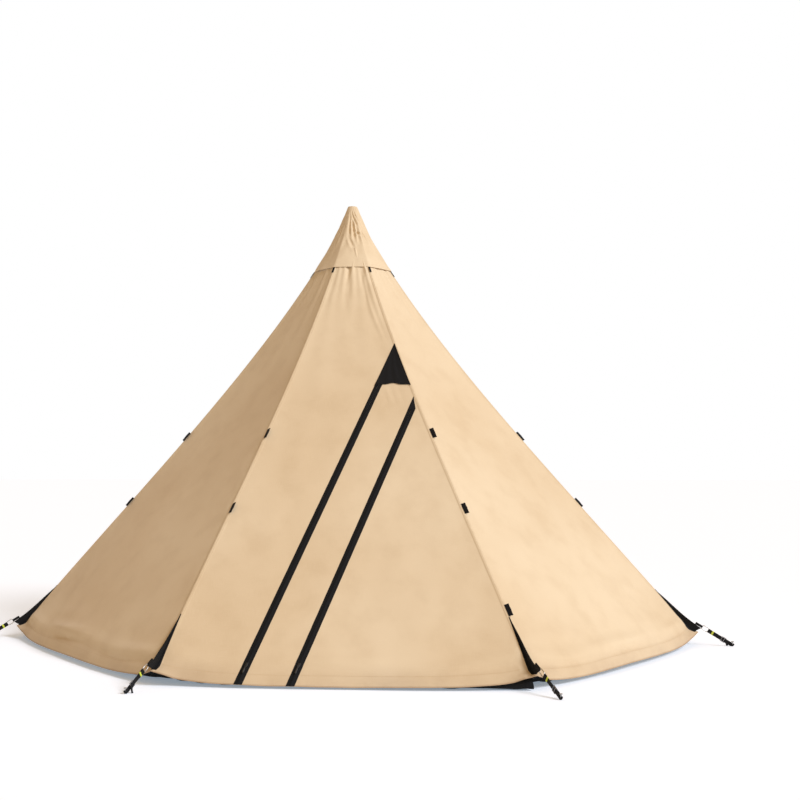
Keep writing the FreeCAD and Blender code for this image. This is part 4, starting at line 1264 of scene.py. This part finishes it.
def strap_bodies():
    """The tongue from the gusset round the ring, and the strap from the ring to the peg."""
    thick = 0.0018
    near_wire = RING_GAP + RING_WIRE
    far_wire = RING_GAP + RING_LENGTH - RING_WIRE
    turn_radius = RING_WIRE + thick * 0.62
    tongue = [(-0.036, -0.0026, 0), (-0.022, -0.0026, 0), (-0.010, -0.0028, 0), (0.002, -turn_radius, 0)]
    tongue += round_turn(near_wire, turn_radius, -90, 90)
    tongue += [(0.002, turn_radius, 0), (-0.010, 0.0028, 0), (-0.022, 0.0026, 0), (-0.036, 0.0026, 0)]
    tail = STRAP_START + STRAP_LENGTH
    line = [(STRAP_START + 0.034, thick * 1.05, 0), (STRAP_START + 0.016, thick * 1.05, 0),
            (STRAP_START + 0.002, turn_radius * 0.9, 0)]
    line += round_turn(far_wire, turn_radius, 90, 270)
    line += [(STRAP_START + 0.002, -turn_radius * 0.9, 0), (STRAP_START + 0.016, 0, 0)]
    line += [(x, 0, 0) for x in np.linspace(STRAP_START + 0.026, tail - 0.006, 14)]
    peg = tail + 0.009
    line += [(peg - 0.0062, -0.0018, 0)]
    line += round_turn(peg, 0.0052, -150, 150, 10)
    line += [(peg - 0.0062, 0.0030, 0), (peg - 0.020, 0.0022, 0), (peg - 0.034, 0.0020, 0)]
    return [flat_strap(tongue, STRAP_WIDTH * 0.62, thick), flat_strap(line, STRAP_WIDTH, thick)]


rings = built("corner_ring_set", all_corners([ring_body()], strap_frame()), RING_STEEL)
hand_over(rings, "root", "ring_steel", "corner_rings")
straps = built("peg_strap_set", all_corners(strap_bodies(), strap_frame()), WEBBING)
hand_over(straps, "root", "black_webbing", "peg_straps")

MARK_BRIGHT, MARK_SHADED = (0.62, 0.68, 0.06, 1.0), (0.30, 0.36, 0.02, 1.0)
MARK_PLACE, MARK_LENGTH = 0.012, 0.012
mark_material, mark_start, mark_shader = new_finish("bright_mark", (0.55, 0.62, 0.05, 1.0), 0.55)
mark_flat = mark_start.node("UVMap", {"uv_map": "cloth"})
mark_threads = weave(mark_start, mark_flat, 0.0012)
feed(mark_shader, {"Base Color": (mark_threads * 0.35).mix(MARK_BRIGHT, MARK_SHADED)},
     mark_threads, 0.0004, 0.8)


def mark_bodies():
    start = STRAP_START + MARK_PLACE
    line = [(x, 0.0004, 0) for x in np.linspace(start, start + MARK_LENGTH, 5)]
    return [swept(line, (0, 0, 1), (0, -1, 0), rounded(STRAP_WIDTH + 0.0014, 0.0056, 0.0012))]


bright = built("strap_mark_set", all_corners(mark_bodies(), strap_frame()), mark_material)
hand_over(bright, "root", "bright_mark", "strap_marks")


# ---------------------------------------------------------------- buckles
# A ladder-lock on each strap: a stamped steel frame with three bars, a lifted tongue, and the
# strap's free tail, which comes back over the bars and hangs to the ground.

BUCKLE_METAL = metal_finish("buckle_metal", (0.33, 0.33, 0.34, 1.0), 0.34)
BUCKLE_PLACE, BUCKLE_LENGTH, BUCKLE_WIDTH = 0.082, 0.030, 0.035


def buckle_bodies():
    start = STRAP_START + BUCKLE_PLACE
    bodies = []
    for side in (-1, 1):
        rail = [(start + x, 0.0004 * math.sin(x * 200), side * (BUCKLE_WIDTH / 2 - 0.0018))
                for x in np.linspace(0, BUCKLE_LENGTH, 9)]
        bodies.append(swept(rail, (0, 0, 1), (0, -1, 0), rounded(0.0034, 0.0062, 0.0013)))
    for x, y in ((0.0018, -0.0026), (0.0115, 0.0028), (0.0185, -0.0026), (0.0282, 0.0028)):
        reach = BUCKLE_WIDTH / 2 - 0.002
        bar = [(start + x, y, z) for z in np.linspace(-reach, reach, 5)]
        bodies.append(swept(bar, (1, 0, 0), (0, 1, 0), rounded(0.0032, 0.0024, 0.0009)))
    tongue = [(start + BUCKLE_LENGTH - 0.002 + x, 0.0030 + x * 0.5, 0) for x in np.linspace(0, 0.010, 6)]
    bodies.append(swept(tongue, (0, 0, 1), (-0.4, 0.9, 0), rounded(BUCKLE_WIDTH * 0.8, 0.0018, 0.0008),
                        [(1 - 0.25 * t * t, 1) for t in np.linspace(0, 1, 6)]))
    return bodies


def tail_bodies():
    """The free end: out over the tongue, then down in a loose curve with a half twist."""
    start = STRAP_START + BUCKLE_PLACE
    line = [(start + 0.010, 0.0058, 0), (start + 0.022, 0.0062, 0), (start + 0.034, 0.0085, -0.001),
            (start + 0.044, 0.0130, -0.005), (start + 0.052, 0.0175, -0.013),
            (start + 0.058, 0.0205, -0.023), (start + 0.062, 0.0225, -0.032)]
    twist = np.array([0, 0, 0.06, 0.2, 0.45, 0.7, 0.85])
    return [flat_strap(line, STRAP_WIDTH * 0.9, 0.0016, twist)]


for index, turn in enumerate(seam_turns(), start=1):
    place = around_pole(turn) @ strap_frame()
    buckle = built(f"ladder_lock_{index}", buckle_bodies(), BUCKLE_METAL, place)
    tail = built(f"strap_tail_{index}", tail_bodies(), WEBBING, place)
    for piece, slot in ((buckle, "buckle_metal"), (tail, "black_webbing")):
        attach(piece, f"buckle_{index}")
    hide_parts(f"strap_buckle_{index}")


# ---------------------------------------------------------------- pegs
# Round galvanised steel pegs, driven through the straps' end loops to their flat heads.

PEG_RADIUS, PEG_HEIGHT, PEG_HEAD = 0.0035, 0.0295, 0.009
PEG_STEEL = metal_finish("peg_steel", (0.48, 0.485, 0.49, 1.0), 0.38, spots=0.55)


def lathe(profile, steps=28):
    """A turned piece about Z from (radius, height) pairs, closed at both ends."""
    spine = [(0, 0, z) for _, z in profile]
    return swept(spine, (1, 0, 0), (0, 1, 0), round_section(1.0, steps), [(r, r) for r, _ in profile])


def peg_bodies():
    top = PEG_HEIGHT
    profile = [(PEG_RADIUS, 0.0006), (PEG_RADIUS, 0.010), (PEG_RADIUS, top - 0.003),
               (PEG_RADIUS * 1.25, top - 0.0006),
               (PEG_HEAD * 0.93, top), (PEG_HEAD, top + 0.0008), (PEG_HEAD, top + 0.0027),
               (PEG_HEAD * 0.92, top + 0.0036), (PEG_HEAD * 0.5, top + 0.0040), (0.0004, top + 0.0040)]
    return [lathe(profile)]


peg_set = built("peg_set", all_corners(peg_bodies(), Matrix.Translation((PEG_AT, 0, 0))), PEG_STEEL,
                sharp=50)
hand_over(peg_set, "root", "peg_steel", "pegs")


# ---------------------------------------------------------------- pole
# Drawn aluminium tubes joined by an inner ferrule; the lowest slides in the middle one and is
# held by a plastic clamp collar. It stands on a rubber foot and ends in a turned plastic head.

ALUMINIUM = metal_finish("pole_aluminium", (0.70, 0.71, 0.72, 1.0), 0.30, scratch=90.0, spots=0.15)


def plain_finish(name, colour, roughness, grain, depth):
    """Moulded plastic or rubber with a fine grain and scuffed, paler patches."""
    material, start, shader = new_finish(name, colour, roughness)
    place = start.node("TexCoord", out=3)
    fine = start.noise(place, grain, 2.0)
    scuff = start.noise(place, 30.0, 5.0)
    pale = tuple(min(1.0, c * 2.4 + 0.02) for c in colour[:3]) + (1.0,)
    feed(shader, {"Base Color": (scuff.fade(0.55, 0.8) * 0.5).mix(colour, pale),
                  "Roughness": roughness + scuff * 0.2 - 0.1}, fine + scuff * 0.4, depth, 0.7)
    return material


BLACK_PLASTIC = plain_finish("black_plastic", (0.018, 0.018, 0.019, 1.0), 0.42, 900.0, 0.0002)
FOOT_RUBBER = plain_finish("foot_rubber", (0.022, 0.021, 0.020, 1.0), 0.80, 500.0, 0.0004)


def dress(node, material):
    """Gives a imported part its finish, and leaves its shape and place alone."""
    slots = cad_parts[node].material_slots
    for slot in slots:
        slot.material = material
    if not slots:
        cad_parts[node].data.materials.append(material)


for node in ("pole_middle_tube", "pole_top_tube", "pole_ferrule", "pole_lower_tube"):
    dress(node, ALUMINIUM)
for node in ("pole_head", "cap_post"):
    dress(node, BLACK_PLASTIC)


def ribbed(base, top, inner, outer, ribs, depth):
    """An open sleeve with grip ribs round its outside, as bands from the bottom up."""
    steps = ribs * 4
    levels = [base, base + 0.0015] + list(np.linspace(base + 0.004, top - 0.004, 10)) + [top - 0.0015, top]
    rows = []
    for i, level in enumerate(levels):
        end = i in (0, len(levels) - 1)
        for k in range(steps):
            turn = 2 * math.pi * k / steps
            bite = depth * (0.5 + 0.5 * math.cos(turn * ribs)) * (2 < i < len(levels) - 3)
            radius = outer - (0.0015 if end else 0) - bite
            rows.append((math.cos(turn) * radius, math.sin(turn) * radius, level))
    for level in (top, base):
        rows += [(x, y, level) for x, y in round_section(inner, steps)]
    count = len(levels) + 2
    faces = grid_faces(count, steps, wrap=True, close=True)
    flats = []
    for i in range(count):
        for k in range(steps):
            flats += [(k * 0.003, i * 0.004), (k * 0.003 + 0.003, i * 0.004),
                      (k * 0.003 + 0.003, i * 0.004 + 0.004), (k * 0.003, i * 0.004 + 0.004)]
    return np.array(rows), faces, flats


collar_low, collar_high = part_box("pole_collar")
collar = built("clamp_collar", [ribbed(collar_low.z, collar_high.z, 0.0196, collar_high.x, 22, 0.0012)],
               BLACK_PLASTIC, sharp=30)
hand_over(collar, "pole_collar", "black_plastic", "pole_collar")
foot_low, foot_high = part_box("pole_foot")
boot_profile = [(foot_high.x * 0.92, foot_low.z + 0.0002), (foot_high.x, foot_low.z + 0.002),
                (foot_high.x, foot_low.z + 0.009), (foot_high.x * 0.96, foot_low.z + 0.012),
                (foot_high.x * 0.90, foot_high.z - 0.010), (foot_high.x * 0.94, foot_high.z - 0.007),
                (foot_high.x * 0.94, foot_high.z - 0.002), (foot_high.x * 0.88, foot_high.z),
                (0.0172, foot_high.z), (0.0172, foot_low.z + 0.0082), (0.0005, foot_low.z + 0.0082)]
boot = built("rubber_boot", [lathe(boot_profile, 40)], FOOT_RUBBER, sharp=50)
hand_over(boot, "pole_lower", "foot_rubber", "pole_foot")


# ---------------------------------------------------------------- hangers and vent net
# Seven webbing hangers carry the canopy's top corners from the pole head, and a cone of fine
# black netting closes the gap that the cap covers.

HANGER_WIDTH = 0.015
HEAD_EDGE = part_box("pole_head")[1].x
HANGER_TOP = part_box("hanger_straps")[1].z


def hanger_bodies():
    low = np.array([float(seam_radius(CANOPY_TOP)) - 0.009, 0, CANOPY_TOP - 0.012])
    high = np.array([HEAD_EDGE + 0.002, 0, HANGER_TOP - 0.004])
    stations = np.linspace(0, 1, 12)[:, None]
    spine = low + (high - low) * stations
    spine[:, 2] -= 0.006 * np.sin(math.pi * stations[:, 0])
    ahead = tangents(spine)
    return [swept(spine, (0, 1, 0), np.cross(ahead, (0, 1, 0)), webbing_section(HANGER_WIDTH, 0.0018))]


hangers = built("hanger_webbing", all_corners(hanger_bodies()), WEBBING)
hand_over(hangers, "root", "black_webbing", "hanger_straps")

net_material, net_start, net_shader = new_finish("vent_netting", (0.015, 0.015, 0.016, 1.0), 0.7)
net_flat = net_start.node("UVMap", {"uv_map": "cloth"})
net_parts = net_start.node("SeparateXYZ", {}, {0: net_flat})
NET_PITCH = 0.0024
net_holes = (((net_parts / NET_PITCH).part() - 0.5) > -0.18) \
    * (((net_parts.output(1) / NET_PITCH).part() - 0.5) > -0.18)
net_dust = net_start.noise(net_start.node("TexCoord", out=3), 20.0, 3.0)
feed(net_shader, {"Alpha": 1 - net_holes,
                  "Base Color": net_dust.mix((0.012, 0.012, 0.013, 1.0), (0.05, 0.048, 0.045, 1.0))})
net_low, net_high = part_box("vent_net")


def net_cone():
    rows, flats = [], []
    rise = net_high.z - net_low.z
    wide = net_high.x - 0.001
    for t in np.linspace(0, 1, 14):
        radius = wide + (0.0215 - wide) * t - 0.004 * math.sin(math.pi * t)
        for k in range(57):
            turn = 2 * math.pi * k / 56
            rows.append((math.cos(turn) * radius, math.sin(turn) * radius, net_low.z + rise * t))
            flats.append((turn * 0.12, t * 0.19))
    return shape("vent_netting_cone", rows, grid_faces(14, 57), net_material, flats)


net = net_cone()
hand_over(net, "root", "vent_netting", "vent_net")


# ---------------------------------------------------------------- vent cap
# A small steep cone of the same canvas, seven gores again, pulled over a button on its post.
# The cloth is slack, so it dents and creases from the tip, and its rim hangs clear of the canopy.

CAP_CANVAS = canvas_finish("cap_canvas", seams=False)
CAP_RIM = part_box("vent_cap")[0].z
CAP_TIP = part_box("vent_cap")[1].z
CAP_LEVELS = (2.612, 2.640, 2.750, 2.860, 2.950, 3.040, 3.080, 3.100)
CAP_RADII = (0.289, 0.2705, 0.2030, 0.1390, 0.0960, 0.0555, 0.0400, 0.0310)


def crease(turn, height, start, stop, width, depth):
    """A dent with raised lips along a line between two (turn, height) points on the cap."""
    scale = 0.14
    ax, ay = (turn - start[0]) * scale, height - start[1]
    bx, by = (stop[0] - start[0]) * scale, stop[1] - start[1]
    t = np.clip((ax * bx + ay * by) / (bx * bx + by * by), 0, 1)
    gap = np.hypot(ax - bx * t, ay - by * t) / width
    ends = np.sin(math.pi * np.clip(t, 0.04, 0.96)) ** 0.6
    return depth * ends * (0.8 * np.exp(-((gap - 1.5) / 0.8) ** 2) - np.exp(-gap ** 2))


CAP_CREASES = [
    # (turn in degrees from +X, height) at each end, half width, depth; -90 faces the door
    ((-98, 3.060), (-66, 2.930), 0.0110, 0.0085), ((-84, 3.060), (-52, 2.960), 0.0090, 0.0065),
    ((-104, 3.040), (-100, 2.860), 0.0120, 0.0070), ((-90, 3.000), (-82, 2.830), 0.0120, 0.0085),
    ((-74, 2.950), (-70, 2.800), 0.0100, 0.0060), ((-84, 2.900), (-60, 2.860), 0.0090, 0.0065),
    ((-100, 2.850), (-86, 2.760), 0.0100, 0.0060), ((-58, 2.920), (-46, 2.820), 0.0090, 0.0055),
    ((10, 3.060), (2, 2.850), 0.0080, 0.0050), ((40, 3.040), (22, 2.820), 0.0070, 0.0050),
    ((95, 3.060), (120, 2.840), 0.0080, 0.0055), ((150, 3.020), (146, 2.800), 0.0080, 0.0050),
    ((-160, 3.050), (-175, 2.830), 0.0080, 0.0055), ((-134, 3.000), (-140, 2.780), 0.0070, 0.0045),
]


def cap_points(turn, height):
    """The cap's surface: seven soft facets, slack between its seams, with dents and creases."""
    level = np.interp(height, CAP_LEVELS, CAP_RADII)
    pitch = 2 * HALF_PANEL
    past = (turn - math.radians(-90) + HALF_PANEL) % pitch - HALF_PANEL
    facet = math.cos(HALF_PANEL) / np.cos(past)
    blend = 0.80 * (1 - ease(2.97, 3.09, height))
    radius = level * (1 + (facet - 1) * blend)
    slack = ripple(turn * 0.9, height * 2.2, 201) * 0.0022 + ripple(turn * 2.4, height * 5, 203) * 0.0009
    slack = slack * ease(CAP_RIM - 0.02, CAP_RIM + 0.08, height)
    for start, stop, width, depth in CAP_CREASES:
        for shift in (-2 * math.pi, 0, 2 * math.pi):
            a = (math.radians(start[0]) + shift, start[1])
            b = (math.radians(stop[0]) + shift, stop[1])
            slack = slack + crease(turn, height, a, b, width, depth)
    radius = radius + slack * np.clip(radius / 0.12, 0.3, 1)
    flare = (1 - ease(CAP_RIM, CAP_RIM + 0.045, height))
    radius = radius + flare * 0.0030 * ripple(turn * 1.1, 0 * height, 207)
    x, y = np.cos(turn) * radius, np.sin(turn) * radius
    tilt = ease(3.06, 3.10, height)
    return np.stack([x, y, height - 0.0012 * tilt * (1 + np.cos(turn - 0.4))], -1)


def build_cap():
    steps, points, flats, marks = 210, [], [], []
    levels = np.concatenate([CAP_RIM + np.array([0, 0.003, 0.010, 0.018, 0.023, 0.030]),
                             np.linspace(CAP_RIM + 0.040, CAP_TIP - 0.004, 70)])
    for level in levels:
        turn = np.linspace(-math.pi, math.pi, steps + 1)[:-1]
        points.append(cap_points(turn, np.full(steps, level)))
        marks.append(np.full(steps, 0.2))
    count = len(levels)
    points = np.concatenate(points)
    centre = points[-steps:].mean(0)
    for shrink, up in ((0.82, 0.0012), (0.5, 0.0020), (0.12, 0.0022)):
        ring = centre + (points[(count - 1) * steps:count * steps] - centre) * shrink
        ring[:, 2] += up
        points = np.concatenate([points, ring])
        marks.append(np.full(steps, 0.2))
        levels = np.append(levels, levels[-1] + 0.01)
    count = len(levels)
    faces = grid_faces(count, steps, wrap=True)
    faces.append(tuple(range((count - 1) * steps, count * steps)))
    flats = []
    reach = np.interp(levels, CAP_LEVELS, CAP_RADII)
    for i in range(count - 1):
        for j in range(steps):
            a, b = 2 * math.pi * j / steps, 2 * math.pi * (j + 1) / steps
            flats += [(a * reach[i], levels[i]), (b * reach[i], levels[i]),
                      (b * reach[i + 1], levels[i + 1]), (a * reach[i + 1], levels[i + 1])]
    flats += [(0.01 * math.cos(k), 0.01 * math.sin(k)) for k in range(steps)]
    return shape("vent_cap_cloth", points, faces, CAP_CANVAS, flats, {"above_hem": np.concatenate(marks)})


cap = thicken(build_cap(), 0.0013)
hand_over(cap, "vent_cap", "cap_canvas", "vent_cap")

TAB_WIDTH, TAB_LENGTH = 0.016, 0.042


def tab_bodies():
    """A short webbing tab that hangs from the rim over a seam; its cord loop is not built."""
    low_z = CAP_RIM - TAB_LENGTH
    low = np.array([float(seam_radius(low_z)) + 0.0052, 0, low_z])
    high = np.array([float(seam_radius(CAP_RIM)) + 0.0060, 0, CAP_RIM - 0.003])
    line = [low + (high - low) * t for t in np.linspace(0, 1, 8)]
    ahead = tangents(line)
    return [swept(line, (0, 1, 0), np.cross(ahead, (0, 1, 0)), webbing_section(TAB_WIDTH, 0.0024))]


tabs = built("cap_tab_set", all_corners(tab_bodies()), WEBBING)
hand_over(tabs, "vent_cap", "black_webbing", "cap_tabs")


# ---------------------------------------------------------------- last update

bpy.context.view_layer.update()
